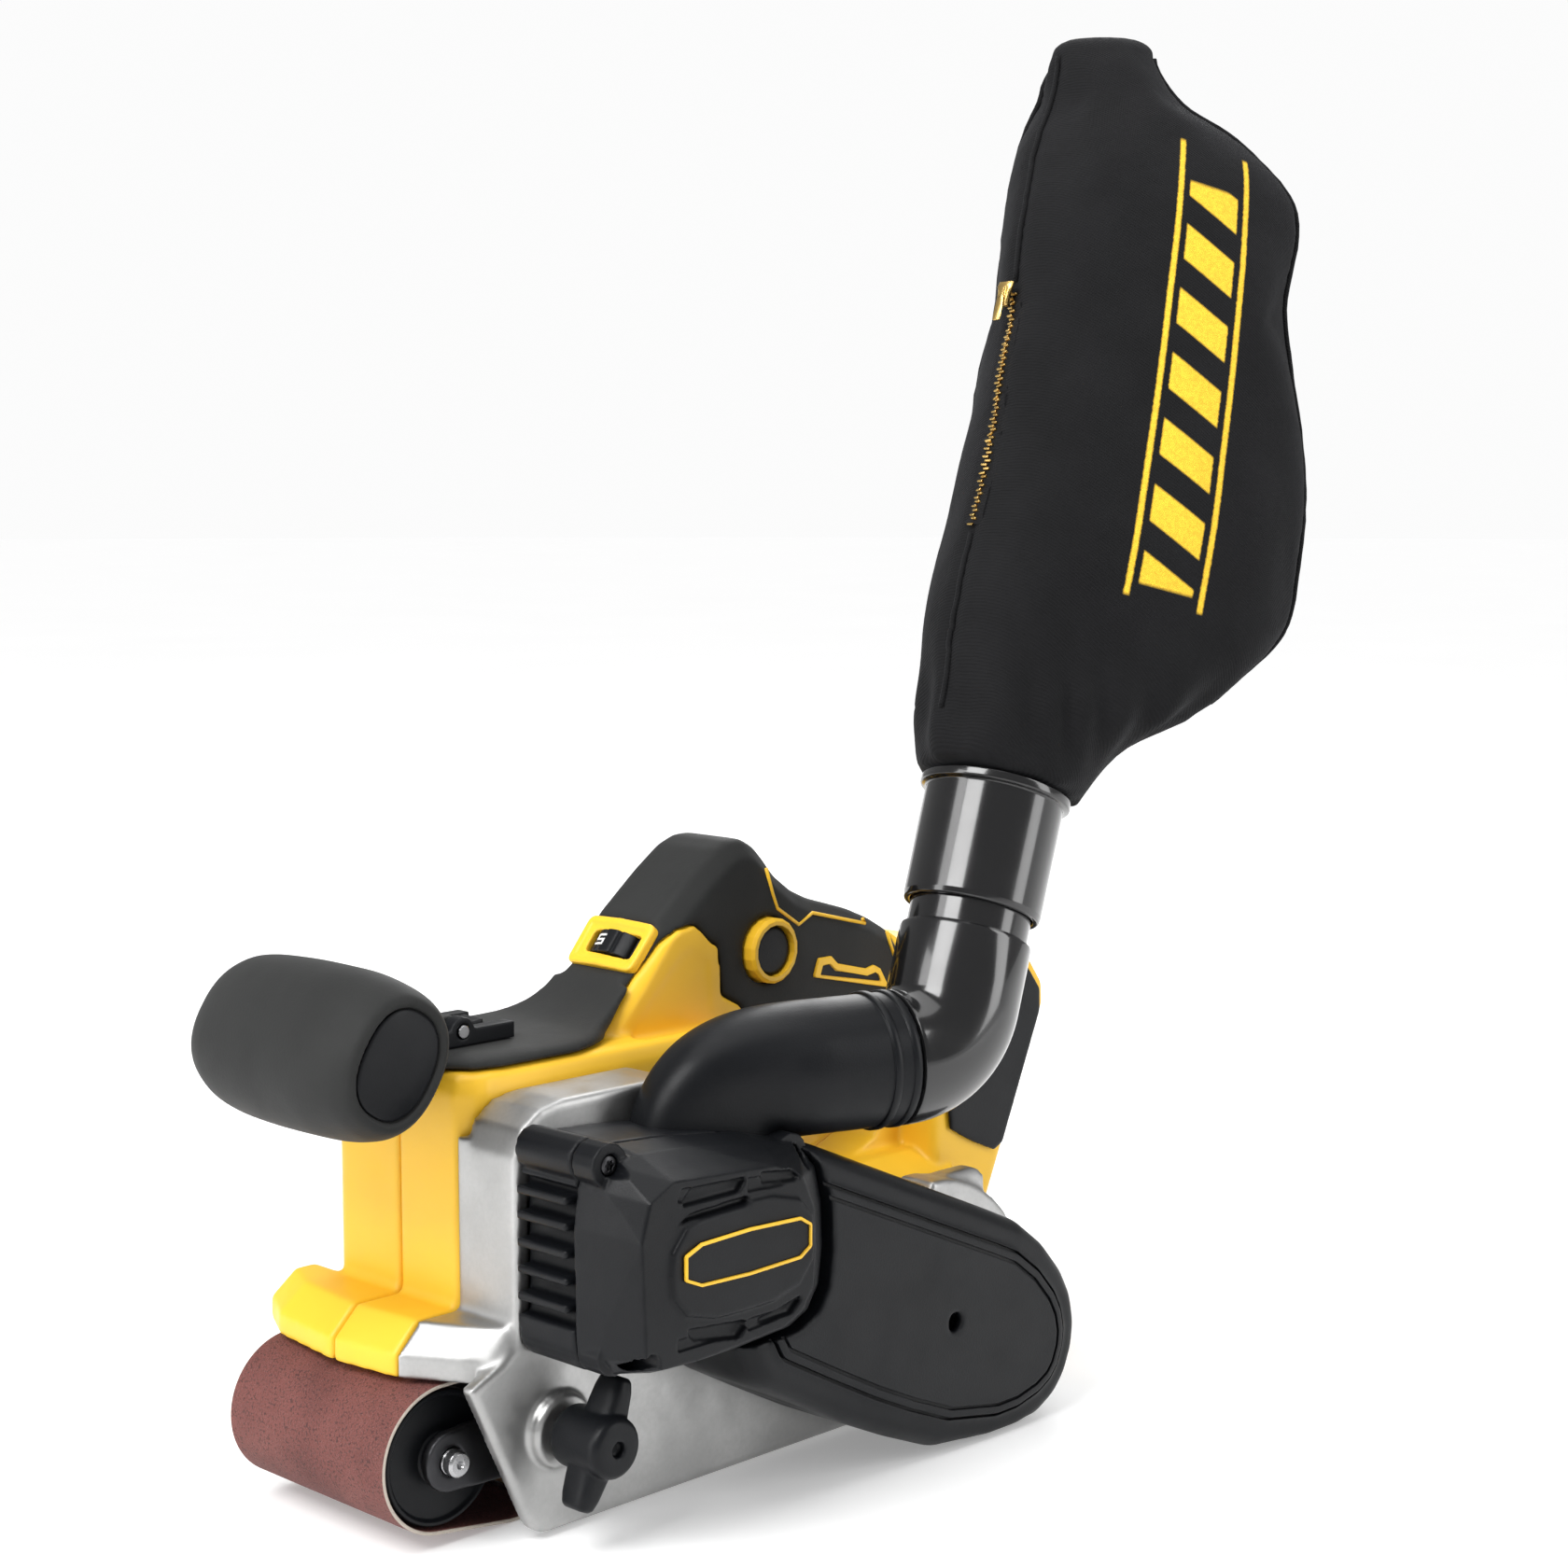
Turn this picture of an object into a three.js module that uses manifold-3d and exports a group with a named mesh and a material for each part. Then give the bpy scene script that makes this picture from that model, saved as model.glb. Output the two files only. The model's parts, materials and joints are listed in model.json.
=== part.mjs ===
// Handheld belt sander, 76 x 533 mm belt, with swivelling dust outlet and bag.
// Millimetres, +Z up. Z = 0 is the sanding plane (underside of the belt), X = 0 lies midway between
// the two rollers. The nose and front knob point to -X, the drive cover is on the left, -Y.
import * as THREE from "three";
import { ConvexGeometry } from "three/addons/geometries/ConvexGeometry.js";
import { mergeVertices } from "three/addons/utils/BufferGeometryUtils.js";
import Module from "manifold-3d";

const wasm = await Module();
wasm.setup();

// ---------------------------------------------------------------- driving dimensions
// Places called "axis" are [x, z] of a line along Y.
const BELT_WIDTH = 76;
const BELT_THICKNESS = 1.1;
const HALF_BASE = 99; // half the distance between roller axes
const ROLLER_Z = 26.3;
const REAR_AXIS = [HALF_BASE, ROLLER_Z];
const FRONT_AXIS = [-HALF_BASE, ROLLER_Z];
const ROLLER_R = 20.5;
const ROLLER_HALF = 36.8; // half its length
const REAR_AXLE_R = 5;
const FRONT_AXLE_R = 4;
const SHAFT_R = 4; // motor shaft
const SHAFT_FIT = 0.15; // radial gap round a shaft
const BELT_GAP = 1.0; // sanding belt to roller
const PLATEN_HALF = 74; // where the belt touches down
const PLATE_OUT = -55; // outer face of the side plate
const PLATE_IN = -50;
const DECK_LEFT = PLATE_IN - 1; // deck and core overlap the side plate
const MOTOR_AXIS = [-38, 92];
const BASE_OUT = -80; // outer end of the ribbed motor housing
const CAP_OUT = -105; // outer face of the motor cap
const COVER_OUT = -94; // outer face of the drive cover
const PULLEY_REAR_R = 18.5;
const PULLEY_MOTOR_R = 8;
const BODY_RIGHT = 37;
const BODY_FRONT = -85;
const BODY_TOP = 136.7;
const HANDLE_HALF = 19;
const FOOT_HALF = 35;
const CLEAR = 0.3; // gap between fitted plastic pieces

// ---------------------------------------------------------------- solids kit
const V = (x, y, z) => new THREE.Vector3(x, y, z);
const X = V(1, 0, 0);
const Y = V(0, 1, 0);
const Z = V(0, 0, 1);
const LEFT = V(0, -1, 0);
const WELD = 1e-4; // vertices closer than this are merged

// A closed three.js geometry as a solid, turned the right way out.
function solid(geometry, matrix) {
  const loose = geometry.index ? geometry.toNonIndexed() : geometry;
  const bare = new THREE.BufferGeometry();
  bare.setAttribute("position", loose.getAttribute("position"));
  if (matrix) bare.applyMatrix4(matrix);
  const welded = mergeVertices(bare, WELD);
  const points = welded.attributes.position.array;
  const triangles = [];
  let volume = 0;
  for (let i = 0; i < welded.index.count; i += 3) {
    const corners = [0, 1, 2].map((k) => welded.index.getX(i + k));
    if (new Set(corners).size < 3) continue;
    triangles.push(...corners);
    const [p, q, r] = corners.map((k) => V().fromArray(points, 3 * k));
    volume += p.dot(q.cross(r));
  }
  if (volume < 0)
    for (let i = 1; i < triangles.length; i += 3)
      [triangles[i], triangles[i + 1]] = [triangles[i + 1], triangles[i]];
  return new wasm.Manifold(
    new wasm.Mesh({
      numProp: 3,
      vertProperties: new Float32Array(points),
      triVerts: new Uint32Array(triangles),
    }),
  );
}
const add = (...bodies) => bodies.reduce((sum, body) => sum.add(body));
const cut = (body, ...tools) => tools.reduce((rest, tool) => rest.subtract(tool), body);

// A prism: an outline in the plane (u, v), swept along w. The bevel stays inside the outline.
function sweepFlat(outline, [u, v, w], [from, to], { bevel = 0, holes = [] } = {}) {
  const points = (list) => list.map(([a, b]) => new THREE.Vector2(a, b));
  const shape = new THREE.Shape(points(outline));
  for (const hole of holes) shape.holes.push(new THREE.Path(points(hole)));
  const geometry = new THREE.ExtrudeGeometry(shape, {
    depth: to - from - 2 * bevel,
    bevelEnabled: bevel > 0,
    bevelThickness: bevel,
    bevelSize: bevel,
    bevelOffset: -bevel,
    bevelSegments: 1,
  });
  geometry.translate(0, 0, from + bevel);
  return solid(geometry, new THREE.Matrix4().makeBasis(u, v, w));
}
// Outline in (X, Z), from y0 to y1.
const side = (outline, [y0, y1], options) => sweepFlat(outline, [X, Z, LEFT], [-y1, -y0], options);
// Outline in (X, Y), over a range of z.
const plan = (outline, zRange) => sweepFlat(outline, [X, Y, Z], zRange);

function box([x0, x1], [y0, y1], [z0, z1]) {
  const geometry = new THREE.BoxGeometry(x1 - x0, y1 - y0, z1 - z0);
  return solid(geometry.translate((x0 + x1) / 2, (y0 + y1) / 2, (z0 + z1) / 2));
}
const hull = (points) => solid(new ConvexGeometry(points.map((p) => V(...p))));
// Convex body through [z, outline in (X, Y)] levels.
const stack = (levels) => hull(levels.flatMap(([z, pts]) => pts.map(([x, y]) => [x, y, z])));
// Convex body through [y, outline in (X, Z)] levels.
const stackY = (levels) => hull(levels.flatMap(([y, pts]) => pts.map(([x, z]) => [x, y, z])));

// A body of revolution: profile [[radius, height], ...] closed on the axis or on itself.
function turned(profile, origin, axis, segments) {
  const points = profile.map(([radius, height]) => new THREE.Vector2(radius, height));
  if (profile[0][0] !== 0 || profile.at(-1)[0] !== 0) points.push(points[0].clone());
  const turn = new THREE.Quaternion().setFromUnitVectors(Y, axis.clone().normalize());
  const matrix = new THREE.Matrix4().compose(V(...origin), turn, V(1, 1, 1));
  return solid(new THREE.LatheGeometry(points, segments), matrix);
}
// Round bar between two points, and bars along Y at [x, z] or along Z at [x, y].
function bar(start, end, radius, segments = 16) {
  const run = V(...end).sub(V(...start));
  const length = run.length();
  return turned([[0, 0], [radius, 0], [radius, length], [0, length]], start, run, segments);
}
const barY = ([x, z], [y0, y1], radius, segments) =>
  bar([x, y0, z], [x, y1, z], radius, segments);
const barZ = ([x, y], [z0, z1], radius, segments) =>
  bar([x, y, z0], [x, y, z1], radius, segments);

// A skin through sections of equal point count, closed at both ends.
function loft(sections) {
  const count = sections[0].length;
  const positions = sections.flat().flatMap((p) => [...p]);
  const index = [];
  for (let i = 0; i + 1 < sections.length; i++)
    for (let j = 0; j < count; j++) {
      const here = i * count + j;
      const next = i * count + ((j + 1) % count);
      index.push(here, next, next + count, here, next + count, here + count);
    }
  for (const row of [0, sections.length - 1]) {
    const centre = sections[row].reduce((sum, p) => sum.add(p), V(0, 0, 0));
    const hub = positions.length / 3;
    positions.push(...centre.multiplyScalar(1 / count));
    for (let j = 0; j < count; j++) {
      const here = row * count + j;
      const next = row * count + ((j + 1) % count);
      index.push(hub, ...(row === 0 ? [next, here] : [here, next]));
    }
  }
  const geometry = new THREE.BufferGeometry();
  geometry.setAttribute("position", new THREE.Float32BufferAttribute(positions, 3));
  geometry.setIndex(index);
  return solid(geometry);
}
// Superellipse ring: half sizes along u and v, exponent 2 is an ellipse, higher is squarer.
function ring(centre, u, v, halfU, halfV, count, exponent = 2) {
  return Array.from({ length: count }, (_, i) => {
    const angle = (2 * Math.PI * i) / count;
    const c = Math.cos(angle);
    const s = Math.sin(angle);
    const reach = (Math.abs(c) ** exponent + Math.abs(s) ** exponent) ** (-1 / exponent);
    return centre.clone().addScaledVector(u, halfU * c * reach).addScaledVector(v, halfV * s * reach);
  });
}

// ---------------------------------------------------------------- outline kit
// A closed outline moved outward by a distance, whichever way round it runs.
function offset(outline, distance) {
  const count = outline.length;
  const area = outline.reduce((sum, [x, y], i) => {
    const [nextX, nextY] = outline[(i + 1) % count];
    return sum + x * nextY - nextX * y;
  }, 0);
  const sign = area > 0 ? 1 : -1;
  const normal = ([x0, y0], [x1, y1]) => {
    const edge = new THREE.Vector2(x1 - x0, y1 - y0).normalize();
    return new THREE.Vector2(edge.y * sign, -edge.x * sign);
  };
  return outline.map((point, i) => {
    const before = normal(outline[(i + count - 1) % count], point);
    const after = normal(point, outline[(i + 1) % count]);
    const mitre = before.clone().add(after).normalize();
    const shift = distance / Math.max(0.5, mitre.dot(before));
    return [point[0] + mitre.x * shift, point[1] + mitre.y * shift];
  });
}
// Points on an arc, angles in degrees.
const arc = ([cx, cy], radius, from, to, steps) =>
  Array.from({ length: steps + 1 }, (_, i) => {
    const angle = ((from + ((to - from) * i) / steps) * Math.PI) / 180;
    return [cx + radius * Math.cos(angle), cy + radius * Math.sin(angle)];
  });
const rect = (x0, x1, y0, y1) => [[x0, y0], [x1, y0], [x1, y1], [x0, y1]];
// Completes the -Y half of an (X, Y) outline with its mirror image.
const mirrored = (half) => [...half, ...[...half].reverse().map(([x, y]) => [x, -y])];
// Each [x, y, z] together with its twin at -y.
const acrossY = (points) => points.flatMap(([x, y, z]) => [[x, -y, z], [x, y, z]]);
// Moves a body built about the origin to a frame with axes u, v, w.
const placed = (body, origin, u, v, w) =>
  body.transform(new THREE.Matrix4().makeBasis(u, v, w).setPosition(V(...origin)).elements);

// ---------------------------------------------------------------- materials
const look = (settings) => new THREE.MeshStandardMaterial(settings);
const YELLOW = look({ color: 0xf5b414, roughness: 0.42, metalness: 0 });
const LEVER_YELLOW = look({ color: 0xd9a416, roughness: 0.45, metalness: 0 });
const RUBBER = look({ color: 0x3c3c3a, roughness: 0.82, metalness: 0 });
const BLACK = look({ color: 0x1f2022, roughness: 0.5, metalness: 0 });
const GLOSS = look({ color: 0x141516, roughness: 0.18, metalness: 0 });
const CAST = look({ color: 0xb9bab8, roughness: 0.38, metalness: 0.85 });
const STEEL = look({ color: 0x8d8f92, roughness: 0.3, metalness: 0.95 });
const DARK_STEEL = look({ color: 0x3a3b3d, roughness: 0.45, metalness: 0.8 });
const COPPER = look({ color: 0xa85f32, roughness: 0.4, metalness: 0.7 });
const GRIT = look({ color: 0x6b3a35, roughness: 0.95, metalness: 0 });
const CORK = look({ color: 0x6e5a3c, roughness: 0.9, metalness: 0 });
const CLOTH = look({ color: 0x17181a, roughness: 0.95, metalness: 0 });
const PCB = look({ color: 0x1d4a33, roughness: 0.6, metalness: 0 });
const BELT = look({ color: 0x18191a, roughness: 0.8, metalness: 0 });
const BRASS = look({ color: 0xc9a24a, roughness: 0.35, metalness: 0.9 });

const sander = new THREE.Group();
function piece(name, body, material) {
  const { vertProperties, triVerts } = body.getMesh();
  const geometry = new THREE.BufferGeometry();
  geometry.setAttribute("position", new THREE.Float32BufferAttribute(vertProperties, 3));
  geometry.setIndex(new THREE.Uint32BufferAttribute(triVerts, 1));
  geometry.computeVertexNormals();
  const mesh = new THREE.Mesh(geometry, material);
  mesh.name = name;
  sander.add(mesh);
}
// Screw profile: shank, then a wider head.
const screwProfile = ({ shankR, shankEnd, headR, headEnd }) => [
  [0, 0], [shankR, 0], [shankR, shankEnd], [headR, shankEnd], [headR, headEnd], [0, headEnd],
];

// ---------------------------------------------------------------- sanding belt, platen
const beltPath = (radius, flatZ) => [
  ...arc(FRONT_AXIS, radius, 90, 261, 14),
  [-PLATEN_HALF, flatZ],
  [PLATEN_HALF, flatZ],
  ...arc(REAR_AXIS, radius, -81, 90, 14),
];
const BELT_INNER_R = ROLLER_R + BELT_GAP;
piece(
  "sanding_belt",
  side(beltPath(BELT_INNER_R + BELT_THICKNESS, 0), [-BELT_WIDTH / 2, BELT_WIDTH / 2], {
    holes: [beltPath(BELT_INNER_R, BELT_THICKNESS)],
  }),
  GRIT,
);
const PLATEN_X = [-60, PLATEN_HALF];
const PLATEN_Y = [-35, 35];
piece("platen", box(PLATEN_X, PLATEN_Y, [1.5, 3.1]), STEEL);
piece("platen_pad", box(PLATEN_X, PLATEN_Y, [3.4, 5.1]), CORK);

// ---------------------------------------------------------------- places shared by several pieces
// Motor housing outline in (X, Z).
const MOTOR_OUTLINE = [
  [-84.6, 64], [-85, 73], [-85.4, 101], [-83.7, 113], [-79, 121], [-70, 123.2], [-50, 122],
  [-20, 118.5], [-4, 114.5], [4, 106], [7, 94], [7.6, 80], [6, 68], [1, 60], [-8, 56],
  [-30, 54.5], [-66, 55], [-80, 58],
];
// Screw bosses of the motor housing, [x, z].
const BOSSES = {
  front_top: [-79.3, 119.6],
  front_low: [-77.8, 64.5],
  rear_top: [-6, 110],
  rear_low: [1, 63],
};
const TRACKING_AXIS = [-69.8, 32.4];
const LEVER_PIVOT = [-50, 34.2]; // [x, y] of the tension lever's upright pivot

// Straight corridor around the drive belt, widening towards the rear.
const shaftSpan = V(REAR_AXIS[0] - MOTOR_AXIS[0], 0, REAR_AXIS[1] - MOTOR_AXIS[1]);
const beltDir = shaftSpan.clone().normalize();
const besideSpan = (fraction, sideways) => [
  MOTOR_AXIS[0] + shaftSpan.x * fraction - beltDir.z * sideways,
  MOTOR_AXIS[1] + shaftSpan.z * fraction + beltDir.x * sideways,
];
const corridor = [
  besideSpan(0, 12.6), besideSpan(0, -12.6), besideSpan(0.9, -25), besideSpan(0.9, 25),
];

// ---------------------------------------------------------------- cast frame
const PLATE_OUTLINE = [
  [-102.5, 51], [-82.6, 9], [-80, 4.2], [-76.5, 1.9], [-71.6, 1.2], [66, 1.4], [112, 1.4],
  [130, 6], ...arc(REAR_AXIS, 46, -8, 90, 9), [73, 75], [14, 76], [13, 76], [13, 60],
  [-60, 60], [-84, 60], [-90, 57],
];
// Arch of the frame around the motor housing, in (X, Z).
const ARCH_OUTLINE = [
  [-85, 52], [-85, 116], [-82, 124.5], [-75, 129.3], [-66, 131], [-22, 131], [-7, 123],
  [5, 112], [12, 98], [13.5, 84], [13.5, 52],
];
// The rest of the frame outlines are in (X, Y).
const CORNER_STRIP = [
  [-85, -27.4], [-80.2, -31.1], [-76, -32.35], [-75, -32.35], [-75, -33], [-85, -33],
];
const SHOULDER = [
  [-107.7, -27.3], [-97.5, -45], [-93, -51], [-88, -55], [-83.5, -55], [-83.5, -28.6],
  [-85.2, -27.4],
];
const SHOULDER_TOP = [
  [-99.5, -27.3], [-92, -43], [-89, -48], [-86, -52], [-83.5, -53], [-83.5, -28.6],
  [-85.2, -27.4],
];
const LUG = rect(110.5, 130, -51, -40);
const DECK_Z = [50, 54];

function mainFrame() {
  const casting = add(
    side(PLATE_OUTLINE, [PLATE_OUT, PLATE_IN]),
    side(ARCH_OUTLINE, [PLATE_OUT, -32.3]),
    plan(CORNER_STRIP, [52, 119]),
    stack([[50, SHOULDER], [57, SHOULDER], [66, SHOULDER_TOP]]),
    box([-84, 122], [DECK_LEFT, 38], DECK_Z), // deck over the belt
    box([-60, 74], [DECK_LEFT, 36], [5.5, 45.5]), // core between the belt runs
    // tracking boss
    turned(
      [[0, 0], [11.5, 0], [11.5, 3], [10.5, 4], [0, 4]],
      [TRACKING_AXIS[0], PLATE_OUT + 0.01, TRACKING_AXIS[1]],
      LEFT,
      18,
    ),
    // rear guard arch and lug
    side([...arc(REAR_AXIS, 45.2, 11, 91, 10), ...arc(REAR_AXIS, 49.5, 91, 11, 10)], [
      PLATE_OUT,
      -39.5,
    ]),
    stack([[58, LUG], [72, LUG], [75, rect(113, 127.5, -49, -42)]]),
    box([99, 122], [DECK_LEFT, -40], [50, 60]),
  );
  const hollowed = cut(
    casting,
    side(offset(MOTOR_OUTLINE, -6), [-56, -37]), // motor pocket
    barY(MOTOR_AXIS, [-56, -37], 26.2, 24),
    box([8, 66], [-44, 37], [10, 41]), // hollow core, open to the right
    box([-61, 4], [-12.4, 12.4], [17.6, 34.4]), // slider channel, open to the front
    box([-56, 20], [30, 37], [17.6, 34.6]), // lever pocket
    barZ(LEVER_PIVOT, [12, 41], 2.1, 12),
    barY(TRACKING_AXIS, [-60, -49], 3.4, 16),
    barY(REAR_AXIS, [-56, -40], 13.3, 24), // rear bearing seat
    // clearance for the rear roller and belt next to the guard
    side(arc(REAR_AXIS, 45.9, 0, 360, 24).slice(0, -1), [-49.9, -38.5]),
  );
  const armEnd = [[62, 16], [62, 37], ...arc(REAR_AXIS, 12, 90, -90, 8)];
  const supported = add(
    hollowed,
    box([99, 122], [DECK_LEFT, 38], DECK_Z), // restores the deck over the roller clearance
    box([60, 73.5], [30, 43], [16, 37]), // arm for the right end of the rear axle
    side(armEnd, [38.8, 43]),
  );
  return cut(supported, barY(REAR_AXIS, [38, 44], 5.4, 20));
}
piece("main_frame", mainFrame(), CAST);

// ---------------------------------------------------------------- handle, shared by shell and grip
// D handle, its opening and the foot in (X, Z).
const HANDLE = [
  [-47, 118], [-46, 138.6], [-32, 140], [-24.4, 139.4], [-16.4, 142.4], [-3.5, 156],
  [8.1, 170.1], [24.8, 183.8], [35.4, 191.3], [42, 193.8], [48.5, 194], [54, 191], [58, 187],
  [63.9, 180.3], [72.3, 174.3], [80.8, 170.5], [100.7, 164.7], [111, 160.5], [120, 155.5],
  [127.3, 151], [141, 147], [155, 144], [150, 60], [60, 56], [0, 56],
];
const OPENING = [
  [31, 92], [36, 83], [46, 79.4], [96, 79.4], [108, 84], [116, 95], [117.5, 108], [113, 120],
  [103, 128.5], [80, 133.4], [56, 136], [41, 134], [33, 127],
];
const FOOT = [
  [136, 146], [160, 146.5], [173, 142.6], [181.4, 131.5], [181.8, 123.5], [150.3, 55],
  [126, 54.5], [121.6, 78], [122.5, 106], [129, 133],
];
const FOOT_CAVITY = [
  [134, 141], [160, 140], [168.5, 136], [175, 126], [146, 62], [131, 62], [128, 80], [129, 108],
];
// Region of the soft overmould on the handle, in (X, Z).
const GRIP_REGION = [
  [-60, 137.2], [-18.6, 137.2], [-11, 144.5], [-2, 153.5], [8.6, 164], [15, 168],
  [22.5, 168.8], [29, 162.5], [33, 160.5], [34.5, 144], [43, 139.5], [47, 130], [60, 112],
  [121.3, 104], [121.3, 160], [110, 210], [0, 215], [-60, 180],
];
// Stiff core inside the overmould, in (X, Z).
const CORE = [
  [-12, 137], [-5, 146], [0, 152], [10, 165.5], [26, 178], [38, 186.5], [46, 188],
  [52, 184.5], [60, 176], [70, 169], [80, 165], [100, 159], [110, 155], [120, 149],
  [124, 146.5], [130, 145], [130, 118], [112, 130], [96, 135], [76, 138.5], [50, 141], [34, 137],
];
const CORE_HALF = 14;
const BUTTON_AXIS = [55.6, 156.4];

// Frame of the dial plate on the front slope of the handle.
const SLOPE_CENTRE = V(2.3, 0, 163);
const slopeUp = V(0.635, 0, 0.772);
const slopeNormal = V(-0.772, 0, 0.635);
const dialCentre = SLOPE_CENTRE.clone().addScaledVector(slopeNormal, -11.2);
const onSlope = (body) => placed(body, SLOPE_CENTRE, slopeUp, Y, slopeNormal);

const dialWell = bar(
  dialCentre.clone().addScaledVector(slopeUp, -4.8),
  dialCentre.clone().addScaledVector(slopeUp, 4.8),
  13.9,
  24,
);
const triggerSlot = box([29.3, 50.2], [-7.6, 7.6], [118, 149]);
const handleSolid = side(HANDLE, [-HANDLE_HALF, HANDLE_HALF], { bevel: 6 });
const openingSolid = side(OPENING, [-60, 60]);

// ---------------------------------------------------------------- yellow clamshell
const HOUSING_SCREWS = [[-58, 33.2, 72], [8, 33.2, 124], [150, 31.2, 66]]; // inner ends, x, y, z
const SPLIT_GAP = 0.3; // between the two halves
const NOSE = [
  [-84.4, 49], [-98, 49], [-107, 32], [-111, 0], [-107.9, -26.7], [-84.4, -26.7],
];
const NOSE_TOP = [
  [-84.4, 44], [-92, 44], [-99, 29], [-102, 0], [-99.5, -26.7], [-84.4, -26.7],
];
const BASE_BLOCK = rect(24, 130, -37.5, 37.5);

// Body outline in (X, Y), drawn in by an inset.
const bodyRing = (inset) => [
  [BODY_FRONT + inset, -26.7 + inset * 0.5], [BODY_FRONT + inset, 28 - inset],
  [-81 + inset, 34 - inset], [-74 + inset, BODY_RIGHT - inset],
  [26 - inset, BODY_RIGHT - inset], [30 - inset, 33 - inset], [30 - inset, -29 + inset],
  [26 - inset, -31.9 + inset], [-76 + inset, -31.9 + inset], [-80 + inset, -30.5 + inset],
];

function clamshell() {
  const handleAndFoot = add(
    stack([[54.4, BASE_BLOCK], [72, BASE_BLOCK], [79, rect(24, 130, -26, 26)]]),
    side(FOOT, [-FOOT_HALF, FOOT_HALF], { bevel: 2 }),
    cut(handleSolid, side(offset(GRIP_REGION, CLEAR), [-40, 40])),
    side(CORE, [-CORE_HALF, CORE_HALF]),
  );
  const outside = add(
    stack([
      [54.4, bodyRing(0)],
      [131, bodyRing(0)],
      [BODY_TOP - 1.2, bodyRing(1.6)],
      [BODY_TOP, bodyRing(4)],
    ]),
    stack([[50, NOSE], [57, NOSE], [66, NOSE_TOP]]),
    cut(handleAndFoot, openingSolid),
  );
  return cut(
    outside,
    box([-79, 25], [-26, 31.5], [58, 131]), // body cavity
    box([27, 124], [-31, 31], [58, 72]), // base cavity
    side(FOOT_CAVITY, [-29, 29]),
    box([25.5, 45.5], [-10.5, 10.5], [149.6, 165.6]), // switch bay
    box([8, 29], [-10.5, 10.5], [118, 136.4]), // wire way down into the body
    triggerSlot,
    dialWell,
    barY(BUTTON_AXIS, [-14.2, -7], 8.8, 20),
    ...HOUSING_SCREWS.map(([x, y, z]) => barY([x, z], [y - 0.2, 40], 3.4, 14)),
    // four ventilation louvres at the right front corner
    ...[76, 85, 94, 103].map((z) => box([-83.6, -66], [35.4, 38], [z, z + 3])),
  );
}
const shell = clamshell();
const half = (yRange) => shell.intersect(box([-200, 250], yRange, [0, 260]));
piece("housing_right", half([SPLIT_GAP / 2, 80]), YELLOW);
piece("housing_left", half([-80, -SPLIT_GAP / 2]), YELLOW);

// ---------------------------------------------------------------- soft grip: handle and body top
// Pad on the body top: [z, left half of the outline in (X, Y)].
const TOP_PAD = [
  [137, [[-84, -19], [-78, -28], [-68, -30.5], [-24, -30.5], [-19, -20]]],
  [139.6, [[-85, -17], [-78, -26.6], [-68, -29], [-24, -29], [-19, -19]]],
  [141.2, [[-80, -15], [-74, -22], [-66, -25], [-26, -25], [-20, -16]]],
];
// Lip hanging down the front of the body.
const FRONT_LIP = [
  [-87.6, -12, 125], [-85.3, -12, 125], [-87.6, 12, 125], [-85.3, 12, 125],
  [-87.6, -20, 132], [-85.3, -20, 132], [-87.6, 20, 132], [-85.3, 20, 132],
  [-87.2, -19, 139], [-85.3, -19, 139], [-87.2, 19, 139], [-85.3, 19, 139],
];
// Joins the lip to the pad; right half.
const LIP_JOIN = [[-87.2, 18, 137], [-80, 18, 137.1], [-86, 16, 140.2], [-80, 15, 141.1]];

function overmould() {
  const coreRoom = CORE_HALF + CLEAR;
  const onHandle = cut(
    cut(handleSolid, openingSolid).intersect(side(GRIP_REGION, [-40, 40])),
    side(offset(CORE, CLEAR), [-coreRoom, coreRoom]),
  );
  return cut(
    add(
      onHandle,
      stack(TOP_PAD.map(([z, halfOutline]) => [z, mirrored(halfOutline)])),
      hull(FRONT_LIP),
      hull(acrossY(LIP_JOIN)),
    ),
    triggerSlot,
    dialWell,
    onSlope(box([-9.4, 9.4], [-15.9, 15.9], [-1.6, 8])), // seat of the dial bezel
    barY(BUTTON_AXIS, [-25, -13], 11.4, 24),
  );
}
piece("handle_overmould", overmould(), RUBBER);

// ---------------------------------------------------------------- controls
const BEZEL = rect(-9.1, 9.1, -15.5, 15.5);
const bezelPlate = stack([[-1.3, BEZEL], [0.1, BEZEL], [0.7, rect(-8.4, 8.4, -14.7, 14.7)]]);
piece("dial_bezel", cut(onSlope(bezelPlate), dialWell), YELLOW);
piece(
  "speed_dial",
  turned(
    [[0, -4.3], [12.4, -4.3], [13.2, -3.5], [13.2, 3.5], [12.4, 4.3], [0, 4.3]],
    dialCentre,
    slopeUp,
    20,
  ),
  BLACK,
);
piece(
  "button_ring",
  turned(
    [[8.7, 0], [11, 0], [11, 7.2], [10, 8.2], [8.7, 8.2]],
    [BUTTON_AXIS[0], -14.5, BUTTON_AXIS[1]],
    LEFT,
    18,
  ),
  YELLOW,
);
piece(
  "lock_button",
  turned(
    [[0, 0], [8.3, 0], [8.3, 9], [7.4, 9.8], [0, 9.8]],
    [BUTTON_AXIS[0], -11.2, BUTTON_AXIS[1]],
    LEFT,
    24,
  ),
  BLACK,
);
const TRIGGER = [
  [30, 142.5], [30, 128], [33, 125.4], [38, 125.6], [42, 127.6], [46, 128.4], [49.5, 127.4],
  [49.5, 142.5],
];
piece("trigger", side(TRIGGER, [-7, 7], { bevel: 1 }), BLACK);
piece("switch_module", box([26, 45], [-10, 10], [150, 165.2]), BLACK);
piece("controller_board", box([-72, -30], [24, 27], [64, 122]), PCB);
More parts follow.
